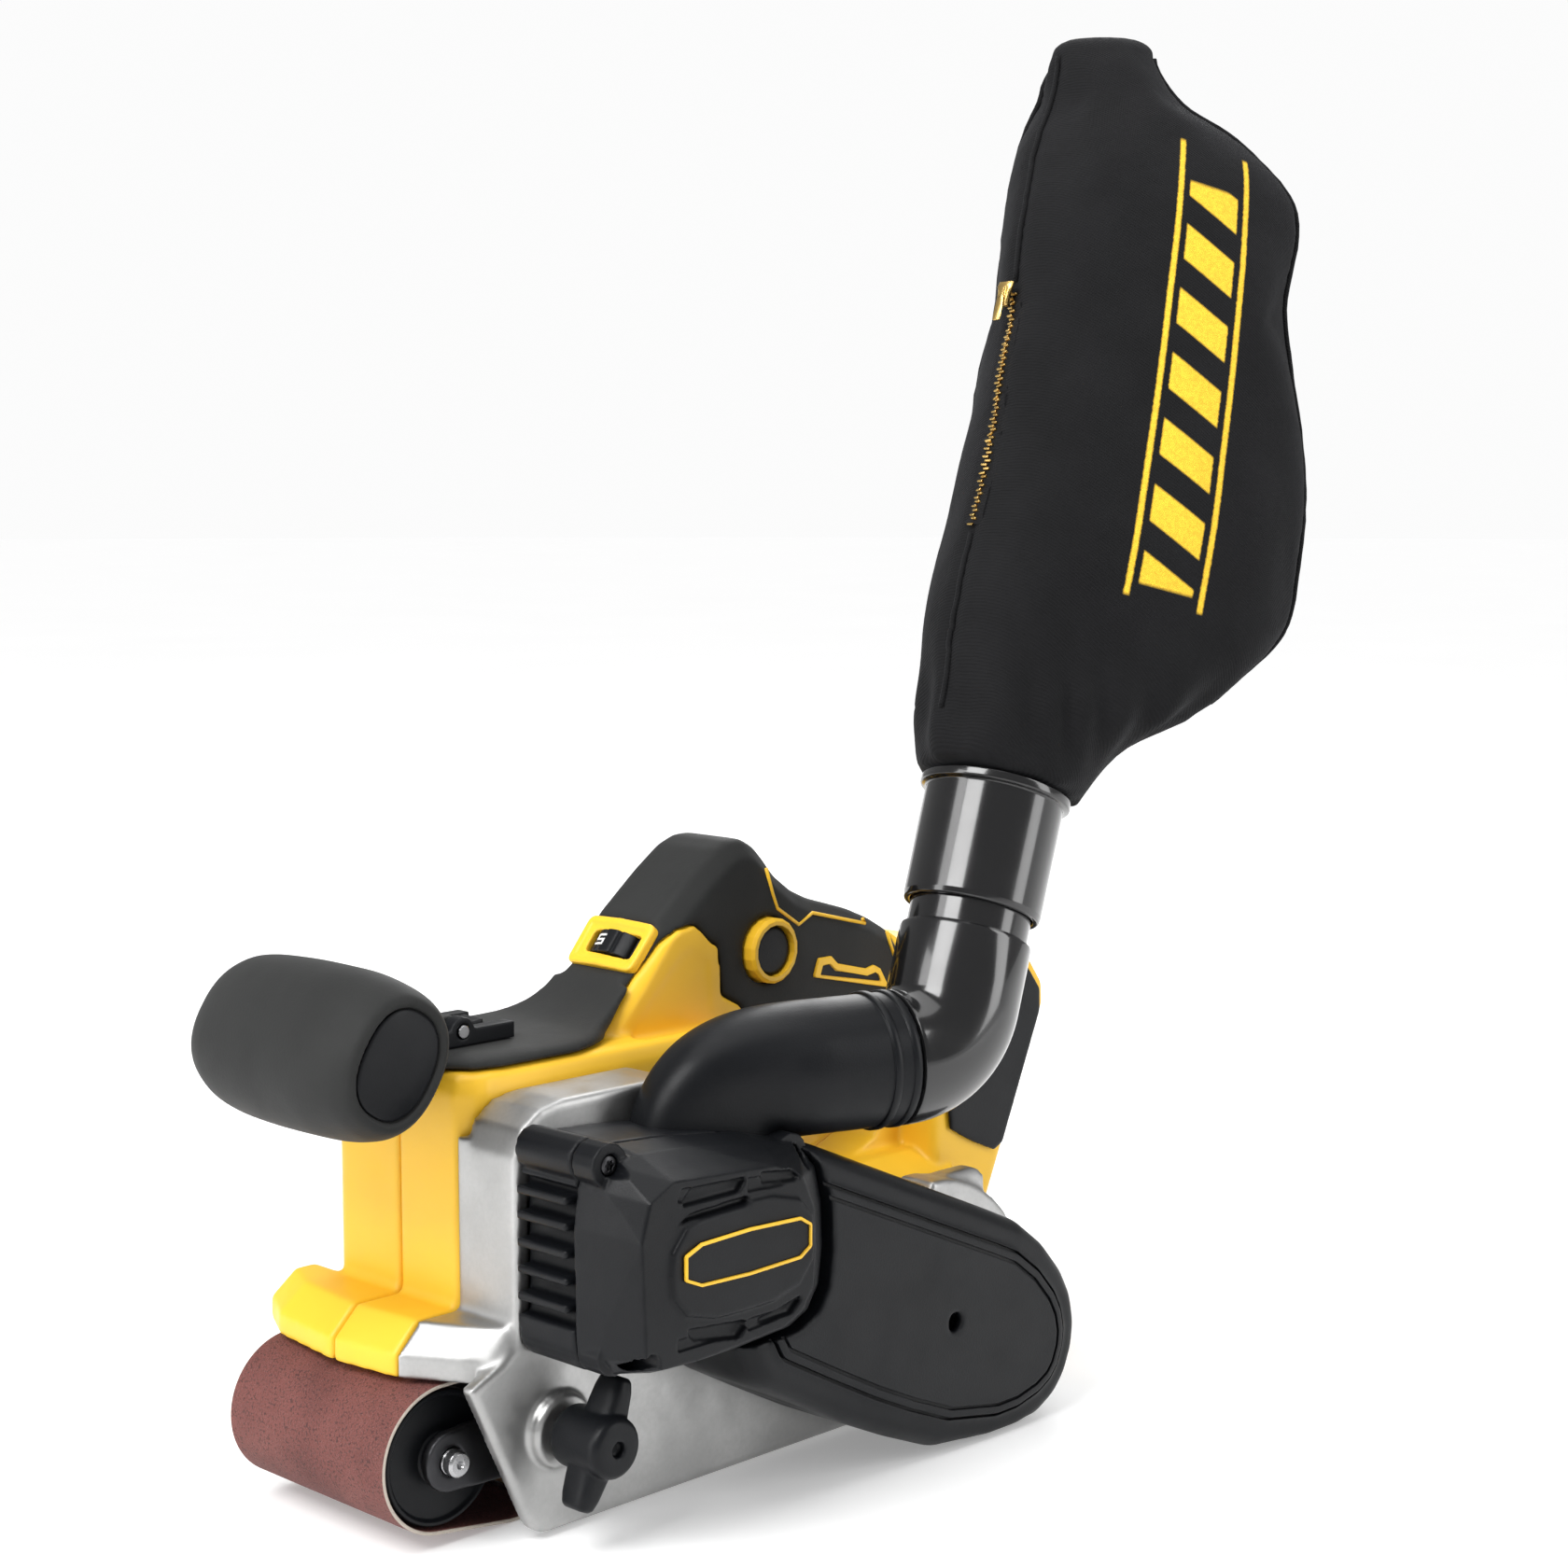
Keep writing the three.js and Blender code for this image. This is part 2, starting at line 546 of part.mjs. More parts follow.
const HANDLE_BADGE = [
  [78, 143.5], [82, 151.5], [86, 152.8], [97, 150], [101, 151], [108, 144.5], [108, 140.5],
];
piece("handle_badge", side(HANDLE_BADGE, [-20.1, -19.3]), YELLOW);

// ---------------------------------------------------------------- battery foot
const PANEL = [
  [128, 86], [140, 79.5], [152, 74.5], [156.5, 76.5], [177, 122], [176.8, 130], [170, 138.6],
  [158, 142], [138, 141.5], [131.5, 130], [125.5, 106],
];
const PANEL_IN = FOOT_HALF + CLEAR;
const PANEL_OUT = 37.2;
piece("foot_panel_left", side(PANEL, [-PANEL_OUT, -PANEL_IN], { bevel: 0.8 }), BLACK);
piece("foot_panel_right", side(PANEL, [PANEL_IN, PANEL_OUT], { bevel: 0.8 }), BLACK);

// T-section rail standing off the sloping rear face.
const railUp = V(0.4149, 0, 0.9099);
const railOut = V(0.9099, 0, -0.4149);
const rail = add(
  box([-30, 26], [-17, 17], [0.35, 5]),
  box([-30, 26], [-23, 23], [4.8, 9]),
);
piece("battery_rail", placed(rail, [166.05, 0, 89.25], railUp, LEFT, railOut), BLACK);

// ---------------------------------------------------------------- motor housing
const BOSS_R = 6.6;
const BOSS_HOLE_R = 2.3;
const RIB_HEIGHTS = [75.5, 83.5, 91.5, 99.5, 107];
const bossPlaces = Object.values(BOSSES);

function motorHousing() {
  const yRange = [BASE_OUT, PLATE_OUT - CLEAR];
  const block = cut(
    side(MOTOR_OUTLINE, yRange),
    box([-90, -80.4], [-90, -50], [71, 112]), // recess behind the front ribs
  );
  const ribbed = add(
    block,
    ...bossPlaces.map((place) => barY(place, yRange, BOSS_R, 12)),
    ...RIB_HEIGHTS.map((z) => box([-86.4, -80], [-78.6, -56.5], [z, z + 2.6])),
  );
  return cut(
    ribbed,
    side(offset(offset(MOTOR_OUTLINE, -4), -3), [-90, -50]),
    side(corridor, [-78, -56.6]),
    ...bossPlaces.map((place) => barY(place, [-81, -66], BOSS_HOLE_R, 10)),
  );
}
piece("motor_housing", motorHousing(), BLACK);

// ---------------------------------------------------------------- motor cap
// Outlines in (X, Z).
const CAP_FACE = [
  [-80, 66], [-81.5, 100], [-78, 111], [-69, 115.5], [-28, 113], [-17, 108], [-12, 97],
  [-11.5, 84], [-12.5, 74], [-17, 67.5], [-25, 64], [-60, 62], [-74, 62.5],
];
const CAP_SLOTS = [
  [[-68, 109.5], [-46, 107.8], [-46, 112], [-66, 113.2]],
  [[-40, 107.4], [-24, 106.6], [-25, 110.8], [-40, 111.6]],
  [[-68, 66], [-46, 66], [-46, 69.6], [-68, 69.8]],
  [[-40, 66], [-27, 67], [-25, 70], [-40, 69.8]],
];
const CAP_BADGE = [
  [-67, 87], [-60.5, 84.2], [-41, 83.6], [-20, 84.2], [-15.4, 87], [-15.4, 94], [-20, 96.8],
  [-41, 97.6], [-60.5, 97], [-67, 94.4],
];

function motorCap() {
  const capIn = BASE_OUT - CLEAR;
  // raised oval that carries the badge
  const oval = ring(V(-42, 89, 0), X, Y, 29, 16, 16, 3).map((p) => [p.x, p.y]);
  return cut(
    add(
      stackY([
        [capIn, offset(MOTOR_OUTLINE, -0.2)],
        [-91, offset(MOTOR_OUTLINE, -1.6)],
        [CAP_OUT, CAP_FACE],
      ]),
      ...bossPlaces.map((place) => barY(place, [-89.6, capIn], BOSS_R, 12)),
      side(oval, [-106.4, -104]),
    ),
    barY(MOTOR_AXIS, [-98.6, -79], 22, 20), // motor room
    ...bossPlaces.map((place) => barY(place, [-112, -86.2], 3.3, 10)), // screw heads
    ...bossPlaces.map((place) => barY(place, [-88, -79], BOSS_HOLE_R, 10)),
    ...CAP_SLOTS.map((slot) => side(slot, [-108, -103.6])),
  );
}
piece("motor_cap", motorCap(), BLACK);
piece("cap_badge", side(CAP_BADGE, [-107.5, -106.7]), YELLOW);
const CAP_SCREW = screwProfile({ shankR: 1.9, shankEnd: 19, headR: 2.9, headEnd: 22 });
for (const [name, [x, z]] of Object.entries(BOSSES))
  piece("cap_screw_" + name, turned(CAP_SCREW, [x, -67.4, z], LEFT, 12), DARK_STEEL);

// ---------------------------------------------------------------- motor
const onMotorAxis = (profile, y, axis, segments) =>
  turned(profile, [MOTOR_AXIS[0], y, MOTOR_AXIS[1]], axis, segments);
const SHAFT_BORE = SHAFT_R + SHAFT_FIT;
piece(
  "motor_stator",
  onMotorAxis([[16.2, 0], [21.4, 0], [21.4, 16], [16.2, 16]], -98, Y, 18),
  COPPER,
);
piece(
  "motor_rotor",
  add(barY(MOTOR_AXIS, [-97, -83], 15.4, 18), barY(MOTOR_AXIS, [-98.2, -38.6], SHAFT_R, 16)),
  STEEL,
);
const FLANGE_R = 9.9;
const MOTOR_PULLEY = [
  [SHAFT_BORE, 0], [FLANGE_R, 0], [FLANGE_R, 1.2], [PULLEY_MOTOR_R, 1.2],
  [PULLEY_MOTOR_R, 15.8], [FLANGE_R, 15.8], [FLANGE_R, 17], [SHAFT_BORE, 17],
];
piece("motor_pulley", onMotorAxis(MOTOR_PULLEY, -60, LEFT, 16), DARK_STEEL);

const FAN_BLADES = 8;
const FAN_DISC = [[SHAFT_BORE, 0], [25, 0], [25, 1.8], [9, 1.8], [9, 11], [SHAFT_BORE, 11]];
function motorFan() {
  const blade = box([8.5, 24.5], [0, 9.5], [-0.9, 0.9]);
  const blades = Array.from({ length: FAN_BLADES }, (_, i) => {
    const angle = (2 * Math.PI * i) / FAN_BLADES;
    const radial = V(Math.cos(angle), 0, Math.sin(angle));
    const across = V(-Math.sin(angle), 0, Math.cos(angle));
    return placed(blade, [MOTOR_AXIS[0], -50.4, MOTOR_AXIS[1]], radial, Y, across);
  });
  return add(onMotorAxis(FAN_DISC, -39.4, LEFT, 16), ...blades);
}
piece("motor_fan", motorFan(), BLACK);

// ---------------------------------------------------------------- drive cover
// Outer face of the cover in (X, Z).
const COVER_FACE = [
  [84, 1.6], [96, 1.8], [108, 4.5], [116, 8.5], [121, 14], [124.5, 22], [125.5, 30],
  [123.5, 39], [119, 47], [110, 57], [98, 66], [87, 71], [0, 108.8], [-14, 108], [-24, 98],
  [-28, 80], [-28, 60], [-20, 45], [3, 32.5], [23, 22], [40, 14], [59, 6.2],
];
const COVER_LOWEST_Z = 1.5;
const COVER_SCREW_AXIS = [63.5, 43.9];
const coverRing = (distance) =>
  offset(COVER_FACE, distance).map(([x, z]) => [x, Math.max(z, COVER_LOWEST_Z)]);

function driveCover() {
  const outside = add(
    stackY([
      [PLATE_OUT - 0.4, coverRing(3.4)],
      [-88, coverRing(2.8)],
      [-92, coverRing(1.8)],
      [COVER_OUT, coverRing(0)],
    ]),
    side(coverRing(-6), [-95.6, -93], { bevel: 0.6 }), // raised panel
  );
  return cut(
    outside,
    side(coverRing(-1.2), [-88.5, -50]),
    side(offset(MOTOR_OUTLINE, 0.5), [-110, -50]),
    barY(BOSSES.rear_top, [-110, -50], BOSS_R + 0.5, 18),
    barY(BOSSES.rear_low, [-110, -50], BOSS_R + 0.5, 18),
    side(corridor, [-78, -50]),
    barY(COVER_SCREW_AXIS, [-97, -91], 4.8, 18),
    barY(COVER_SCREW_AXIS, [-92, -80], 2.2, 12),
  );
}
piece("drive_cover", driveCover(), BLACK);
const COVER_SCREW = screwProfile({ shankR: 1.9, shankEnd: 12, headR: 3.9, headEnd: 14.4 });
piece(
  "cover_screw",
  turned(COVER_SCREW, [COVER_SCREW_AXIS[0], -79, COVER_SCREW_AXIS[1]], LEFT, 14),
  DARK_STEEL,
);

// ---------------------------------------------------------------- drive belt
// Belt line at a given gap from both pulleys: two arcs joined by the outer tangents.
function driveLoop(gap) {
  const heading = THREE.MathUtils.radToDeg(Math.atan2(shaftSpan.z, shaftSpan.x));
  const ratio = (PULLEY_MOTOR_R - PULLEY_REAR_R) / shaftSpan.length();
  const wrap = THREE.MathUtils.radToDeg(Math.acos(ratio));
  return [
    ...arc(MOTOR_AXIS, PULLEY_MOTOR_R + gap, heading + wrap, heading + 360 - wrap, 9),
    ...arc(REAR_AXIS, PULLEY_REAR_R + gap, heading - wrap, heading + wrap, 15),
  ];
}
piece("drive_belt", side(driveLoop(2.1), [-75, -62], { holes: [driveLoop(0.4)] }), BELT);

// ---------------------------------------------------------------- rear roller
function roller(bore, x) {
  const rightHalf = [
    [ROLLER_R, ROLLER_HALF - 0.9], [19.6, ROLLER_HALF], [15.5, ROLLER_HALF],
    [14, ROLLER_HALF - 2], [bore, ROLLER_HALF - 2],
  ];
  const leftHalf = [...rightHalf].reverse().map(([radius, height]) => [radius, -height]);
  return turned([...leftHalf, ...rightHalf], [x, 0, ROLLER_Z], Y, 24);
}
piece("rear_roller", roller(REAR_AXLE_R + SHAFT_FIT, HALF_BASE), BELT);
piece("rear_axle", barY(REAR_AXIS, [-79.6, 44.4], REAR_AXLE_R, 20), STEEL);
piece(
  "rear_bearing",
  turned([[5.2, 0], [13, 0], [13, 5.4], [5.2, 5.4]], [HALF_BASE, -54.9, ROLLER_Z], Y, 20),
  STEEL,
);
// Pulley with a ring-shaped recess in its outer face.
const REAR_PULLEY = [
  [REAR_AXLE_R + SHAFT_FIT, 0], [PULLEY_REAR_R, 0], [PULLEY_REAR_R, 15], [15, 15], [14, 11],
  [9, 11], [9, 15], [REAR_AXLE_R + SHAFT_FIT, 15],
];
piece("rear_pulley", turned(REAR_PULLEY, [HALF_BASE, -61, ROLLER_Z], LEFT, 20), DARK_STEEL);

// ---------------------------------------------------------------- front roller, tracking fork
const FRONT_BORE = FRONT_AXLE_R + SHAFT_FIT;
const FORK_HALF = 41.6;
const FORK_X = [-75.2, -66.2];
const FORK_Z = [16, 36.6];
const FORK_PIN = [-53, 0]; // [x, y] of the upright pin between fork and slider
piece("front_roller", roller(FRONT_BORE, -HALF_BASE), BLACK);
piece("front_axle", barY(FRONT_AXIS, [-45.6, 45.6], FRONT_AXLE_R, 18), STEEL);

function trackingFork() {
  const arm = [
    [FORK_X[1], FORK_Z[0]], [FORK_X[1], FORK_Z[1]], [FORK_X[0], FORK_Z[1]],
    ...arc(FRONT_AXIS, 9.2, 92, 262, 8), [FORK_X[0], FORK_Z[0]],
  ];
  return cut(
    add(
      box(FORK_X, [-FORK_HALF, FORK_HALF], FORK_Z),
      side(arm, [-FORK_HALF, -38.4]),
      side(arm, [38.4, FORK_HALF]),
      box([-67, -47.6], [-6, 6], [22, 30]), // tongue reaching into the slider
    ),
    barY(FRONT_AXIS, [-42, 42], FRONT_BORE, 18),
    barZ(FORK_PIN, [20, 32], 2.9, 14),
  );
}
piece("tracking_fork", trackingFork(), DARK_STEEL);

// ---------------------------------------------------------------- tension slide, spring, lever
const SLIDE_Z = 26; // centre height of slider and spring
const sliderBody = cut(
  box([-59.5, -20], [-12, 12], [18, 34]),
  box([-60, -46], [-9.6, 9.6], [21.4, 30.6]), // mouth for the fork's tongue
  bar([-44, 0, SLIDE_Z], [-19, 0, SLIDE_Z], 6.5), // spring bore
);
piece("tension_slider", add(sliderBody, barZ(FORK_PIN, [20, 32], 2.4, 12)), DARK_STEEL);

// Coil spring between the slider's bore and the end of the channel.
const SPRING = { turns: 6, stepsPerTurn: 8, coilR: 5, wireR: 0.8, startX: -38, length: 41 };
function tensionSpring() {
  const steps = SPRING.turns * SPRING.stepsPerTurn;
  const sections = Array.from({ length: steps + 1 }, (_, i) => {
    const angle = (2 * Math.PI * i) / SPRING.stepsPerTurn;
    const radial = V(0, Math.cos(angle), Math.sin(angle));
    const centre = V(SPRING.startX + (SPRING.length * i) / steps, 0, SLIDE_Z);
    centre.addScaledVector(radial, SPRING.coilR);
    return ring(centre, X, radial, SPRING.wireR, SPRING.wireR, 4);
  });
  return loft(sections);
}
piece("tension_spring", tensionSpring(), STEEL);

const LEVER_Z = [18.3, 33.9];
// Lever outline in (X, Y).
const LEVER = [
  [-50, 37.7], [-50, 31.4], [-44, 31], [6, 31], [15, 34], [17, 41.5], [12, 40.5], [2, 37.8],
];
piece(
  "tension_lever",
  cut(
    add(barZ(LEVER_PIVOT, LEVER_Z, 3.5), stack(LEVER_Z.map((z) => [z, LEVER]))),
    barZ(LEVER_PIVOT, [12, 41], 2.15, 12),
  ),
  LEVER_YELLOW,
);
piece("lever_pivot", barZ(LEVER_PIVOT, [12.4, 40.6], 1.8, 12), STEEL);

// ---------------------------------------------------------------- tracking knob
const TRACKING_HUB = [
  [3.3, 0], [8.2, 0], [9.4, 2], [9.4, 15], [8, 18.5], [6.2, 20], [1.6, 20], [1.6, 18], [3.3, 18],
];
// Wing corners: along the wing, y, half thickness.
const WING = [
  [6, -13, 3.2], [6, -3, 3.2], [17, -15.5, 2.2], [20, -12.5, 2], [20, -6.5, 2], [17, -4, 2.2],
];
function trackingKnob() {
  const [x, z] = TRACKING_AXIS;
  const wingShape = hull(WING.flatMap(([reach, y, h]) => [[reach, y, -h], [reach, y, h]]));
  const wings = [1, -1].map((sign) => {
    const outward = V(0.41, 0, 0.912).normalize().multiplyScalar(sign);
    const across = V(-0.912, 0, 0.41).normalize().multiplyScalar(sign);
    return placed(wingShape, [x, -63, z], outward, Y, across);
  });
  return add(
    turned(TRACKING_HUB, [x, -62, z], LEFT, 16),
    cut(add(...wings), barY(TRACKING_AXIS, [-90, -50], 5, 12)),
  );
}
piece("tracking_knob", trackingKnob(), BLACK);
piece("tracking_screw", barY(TRACKING_AXIS, [-79.5, -42.4], 2.9, 14), STEEL);

// ---------------------------------------------------------------- front knob
const KNOB_CENTRE = [-118, -4, 147.5];
const KNOB_PIVOT = [-70, 146];
const PIVOT_HOLE_R = 2.3;
// Half of the bulb, from its end inwards: y from the centre, half depth, half height.
const BULB = [[41, 13.3, 15.7], [39.5, 17.1, 19.4], [33, 20.4, 22.7], [16, 22.3, 24.5]];
// Neck from the bulb towards the pivot, right half.
const NECK = [[-100, 9, 138], [-100, 9, 155], [-84, 8, 141.7], [-84, 8, 150.2]];

function knobSection([y, halfDepth, halfHeight]) {
  const centre = V(...KNOB_CENTRE).add(V(0, y, 0));
  return ring(centre, V(0.94, 0, -0.34), V(0.34, 0, 0.94), halfDepth, halfHeight, 16, 2.5);
}
function frontKnob() {
  const leftHalf = BULB.map(([y, ...halves]) => [-y, ...halves]);
  const bulb = loft([...leftHalf, [0, 22.8, 25], ...[...BULB].reverse()].map(knobSection));
  const recesses = [-1, 1].map((sign) =>
    loft([[sign * 42, 12.5, 14.9], [sign * 38.5, 12.5, 14.9]].map(knobSection)),
  );
  const eye = arc(KNOB_PIVOT, 4.2, 0, 330, 11).map(([x, z]) => [x, 8, z]);
  return cut(
    add(
      cut(bulb, ...recesses),
      hull(acrossY(NECK)),
      hull(acrossY([[-86, 8, 141.7], [-86, 8, 150.2], ...eye])),
    ),
    barY(KNOB_PIVOT, [-9, 9], PIVOT_HOLE_R, 12),
  );
}
piece("front_knob", frontKnob(), RUBBER);
for (const [name, sign] of [["left", -1], ["right", 1]]) {
  const sections = [[sign * 40.2, 11.9, 14.3], [sign * 38.9, 12.1, 14.5]];
  piece("knob_cap_" + name, loft(sections.map(knobSection)), BLACK);
}

function knobBracket() {
  const cheeks = [[-13.5, -8.4], [8.4, 13.5]].flatMap((yRange) => [
    box([-76, -50], yRange, [141.5, 146.6]),
    barY(KNOB_PIVOT, yRange, 4.5),
  ]);
  return cut(
    add(...cheeks, box([-64, -50], [-13.5, 13.5], [141.5, 145])),
    barY(KNOB_PIVOT, [-14, 14], PIVOT_HOLE_R, 12),
    box([-62, -49], [-5.4, 5.4], [143.5, 150]), // latch seat
  );
}
piece("knob_bracket", knobBracket(), BLACK);
piece("knob_pivot_pin", barY(KNOB_PIVOT, [-13.9, 13.9], 2, 12), STEEL);
const LATCH = [[-61.6, 5, 143.8], [-54.5, 5, 143.8], [-61, 4.6, 146.2], [-55, 4.6, 147]];
piece("knob_latch", hull(acrossY(LATCH)), BLACK);

// ---------------------------------------------------------------- housing screws, right side
const HOUSING_SCREW = [[0, 0], [3, 0], [3, 2.4], [2.2, 3], [0, 3]];
HOUSING_SCREWS.forEach((place, i) =>
  piece("housing_screw_" + (i + 1), turned(HOUSING_SCREW, place, Y, 14), DARK_STEEL),
);

// ---------------------------------------------------------------- dust spout
const SPOUT_R = 21;
const SPOUT_WALL = 2.5;
const SPOUT_END = V(42.7, -85.7, 131.7);
const outAxis = V(0.951, -0.309, 0).normalize(); // along the fixed spout
const outSide = V(-0.309, -0.951, 0).normalize();
const spoutAt = (distance) => SPOUT_END.clone().addScaledVector(outAxis, distance);
// Sections: centre x, y, z, lean of the normal from +Z towards the spout axis in degrees,
// half size in the plane of the lean, half size across it, exponent.
const SPOUT_OUTSIDE = [
  [-30, -68.3, 112, 0, 24, 11.5, 4], [-30, -68.3, 128.4, 0, 24, 11.5, 4],
  [-27, -68.5, 133, 14, 22, 13, 3], [-21, -69, 136.5, 34, 21, 15.5, 2.6],
  [-12, -70, 137, 56, 20.5, 18.5, 2.3], [-3, -71.8, 134.6, 76, 21, 20.4, 2.1],
];
const SPOUT_INSIDE = [
  [-30, -68.3, 110, 0, 21, 8.5, 4], [-29.5, -68.3, 129, 0, 21, 8.8, 4],
  [-25.5, -68.5, 132.4, 14, 19, 10.4, 3], [-20, -69, 135, 34, 18, 12.6, 2.6],
  [-11, -70, 135.2, 56, 17.8, 15.6, 2.3], [-2, -71.8, 133.6, 76, 18.2, 17.7, 2.1],
];
function spoutSkin(table, radius, end) {
  const round = [-36, end].map((distance) => [...spoutAt(distance), 90, radius, radius, 2]);
  const sections = [...table, ...round].map(([x, y, z, lean, halfAlong, halfAcross, exponent]) => {
    const angle = THREE.MathUtils.degToRad(lean);
    const u = outAxis.clone().multiplyScalar(Math.cos(angle));
    u.addScaledVector(Z, -Math.sin(angle));
    return ring(V(x, y, z), u, outSide, halfAlong, halfAcross, 16, exponent);
  });
  return loft(sections);
}
const dustSpout = cut(
  add(
    spoutSkin(SPOUT_OUTSIDE, SPOUT_R, 0),
    bar(spoutAt(-9), spoutAt(-6), SPOUT_R + 0.8, 20), // raised band
  ),
  side(offset(MOTOR_OUTLINE, 0.45), [-120, -50]),
  barY(BOSSES.rear_top, [-91, -50], 7.5, 12),
  box([-95, 25], [-55.4, 20], [40, 131.5]), // clear of the frame arch
  box([-95, 60], [-40, 40], [100, 190]), // clear of the body and handle
  spoutSkin(SPOUT_INSIDE, SPOUT_R - SPOUT_WALL, 1),
);
piece("dust_spout", dustSpout, BLACK);

// ---------------------------------------------------------------- dust elbow
// Starts at the spout's end, turns upwards, ends in a neck for the bag collar.
const ELBOW_R = 21.4;
const BEND_R = 24;
const BEND_STEPS = 5;
const upAxis = V(0.3983, 0.0871, 0.9131).normalize(); // axis of the collar and the bag neck
const CORNER = spoutAt(18.4); // where spout axis and collar axis meet
const bendAngle = outAxis.angleTo(upAxis);
const bendIn = upAxis.clone().addScaledVector(outAxis, -upAxis.dot(outAxis)).normalize();
const bendSide = outAxis.clone().cross(upAxis).normalize();
const upAt = (distance) => CORNER.clone().addScaledVector(upAxis, distance);

// Rings round the bend; the first lies the given distance along the spout axis.
function bendRings(radius, start) {
  const centre = CORNER.clone()
    .addScaledVector(outAxis, -BEND_R * Math.tan(bendAngle / 2))
    .addScaledVector(bendIn, BEND_R);
  const rings = [ring(spoutAt(start), bendIn, bendSide, radius, radius, 16)];
  for (let i = 1; i <= BEND_STEPS; i++) {
    const angle = (i / BEND_STEPS) * bendAngle;
    const inward = bendIn.clone().multiplyScalar(Math.cos(angle));
    inward.addScaledVector(outAxis, -Math.sin(angle));
    const middle = centre.clone().addScaledVector(inward, -BEND_R);
    rings.push(ring(middle, inward, bendSide, radius, radius, 16));
  }
  return rings;
}
const neckAcross = upAxis.clone().cross(bendSide).negate();
const neckRing = (distance, radius) =>
  ring(upAt(distance), neckAcross, bendSide, radius, radius, 16);
const dustElbow = cut(
  loft([
    ...bendRings(ELBOW_R, 0.4),
    neckRing(38.5, ELBOW_R),
    neckRing(38.51, 19.6),
    neckRing(50, 19.6),
  ]),
  loft([...bendRings(18.2, -0.6), neckRing(51, 17.4)]),
);
piece("dust_elbow", dustElbow, GLOSS);

const COLLAR = [
  [20, 0], [22, 0], [22.4, 2], [22.6, 38], [24.6, 38.4], [24.6, 41.4], [21.6, 41.4],
  [20.6, 38], [20, 5],
];
piece("bag_collar", turned(COLLAR, upAt(46.6), upAxis, 20), GLOSS);

// ---------------------------------------------------------------- dust bag
// Sections: centre x, y, z, half width across the wide face, half depth.
const BAG = [
  [95.6, -83.8, 212.4, 27.2, 26.6], [99.6, -84.2, 219.8, 29.2, 27.6],
  [105, -86.3, 228.5, 33.5, 29], [115.4, -93.4, 237.8, 45, 30], [123.4, -98, 249.4, 53, 31],
  [128.8, -99.9, 258.8, 58.5, 32], [133.4, -100.4, 270, 60.5, 34],
  [141.8, -99.2, 297.8, 58.5, 36], [149, -97.3, 323.8, 56.5, 35.5],
  [153.8, -94, 346.8, 53.5, 34], [158.7, -91.3, 368.5, 50, 31],
  [166.8, -88.3, 399.9, 49.5, 27], [167.4, -81.7, 420.3, 40.5, 21],
  [165.2, -73.2, 437.8, 26, 14], [165.9, -68.3, 454.5, 15.5, 8],
];
const BAG_WALL = 1.2;
const bagWide = V(0.812, -0.583, 0).normalize();
const bagDeep = V(0.583, 0.812, 0).normalize();
const bagSections = (inset) =>
  BAG.map(([x, y, z, halfWidth, halfDepth], i) => {
    const level = Math.min(1, i / 3); // the neck follows the collar's tilt, the rest is level
    const normal = upAxis.clone().multiplyScalar(1 - level).addScaledVector(Z, level).normalize();
    const u = bagWide.clone().addScaledVector(normal, -bagWide.dot(normal)).normalize();
    const v = normal.clone().cross(u).normalize();
    return ring(V(x, y, z), u, v, halfWidth - inset, halfDepth - inset, 14, i < 2 ? 2 : 2.6);
  });
function dustBag() {
  const inside = bagSections(BAG_WALL).slice(0, -1); // the top stays closed
  const mouth = inside[0].map((p) => p.clone().addScaledVector(upAxis, -4));
  return cut(loft(bagSections(0)), loft([mouth, ...inside]));
}
piece("dust_bag", dustBag(), CLOTH);

// ---------------------------------------------------------------- zip up the front of the bag
const SEAM = 8; // which of the fourteen points round a section
const ZIP_SPAN = [7, 10]; // bag sections the zip is laid between
const ZIP_LIFT = 1.2; // growth of the sections that carry the zip's line
const seamEnds = (lift) => ZIP_SPAN.map((i) => bagSections(-lift)[i][SEAM]);
const [seamStart, seamEnd] = seamEnds(0);
const [zipStart, zipEnd] = seamEnds(ZIP_LIFT);
const zipAxis = seamEnd.clone().sub(seamStart).normalize();
const zipOut = bagWide.clone().multiplyScalar(-0.93).addScaledVector(bagDeep, -0.37);
zipOut.addScaledVector(zipAxis, -zipOut.dot(zipAxis)).normalize();
const zipSide = zipAxis.clone().cross(zipOut).normalize();
const zipLength = zipEnd.distanceTo(zipStart);
const zipBox = (outRange, halfWidth, alongRange) =>
  placed(box(outRange, [-halfWidth, halfWidth], alongRange), zipStart, zipOut, zipSide, zipAxis);
piece("zip_tape", zipBox([0.6, 1.6], 4, [4, zipLength + 10]), BRASS);
piece("zip_slider", zipBox([1.95, 4.4], 3, [zipLength - 2, zipLength + 7]), BRASS);

export default sander;
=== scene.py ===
"""Looks of a handheld belt sander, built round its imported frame.

The sander stands on z = 0 with its belt running along X. Its nose points to -X, its left
side to -Y, and the dust bag rises at the rear left. Shapes are written in millimetres and
scaled by MM; shaders, lights and the camera are in metres.
"""
import bpy
import bmesh
import json
import math
from contextlib import contextmanager
import numpy as np
from mathutils import Vector, Matrix, noise
from mathutils.bvhtree import BVHTree

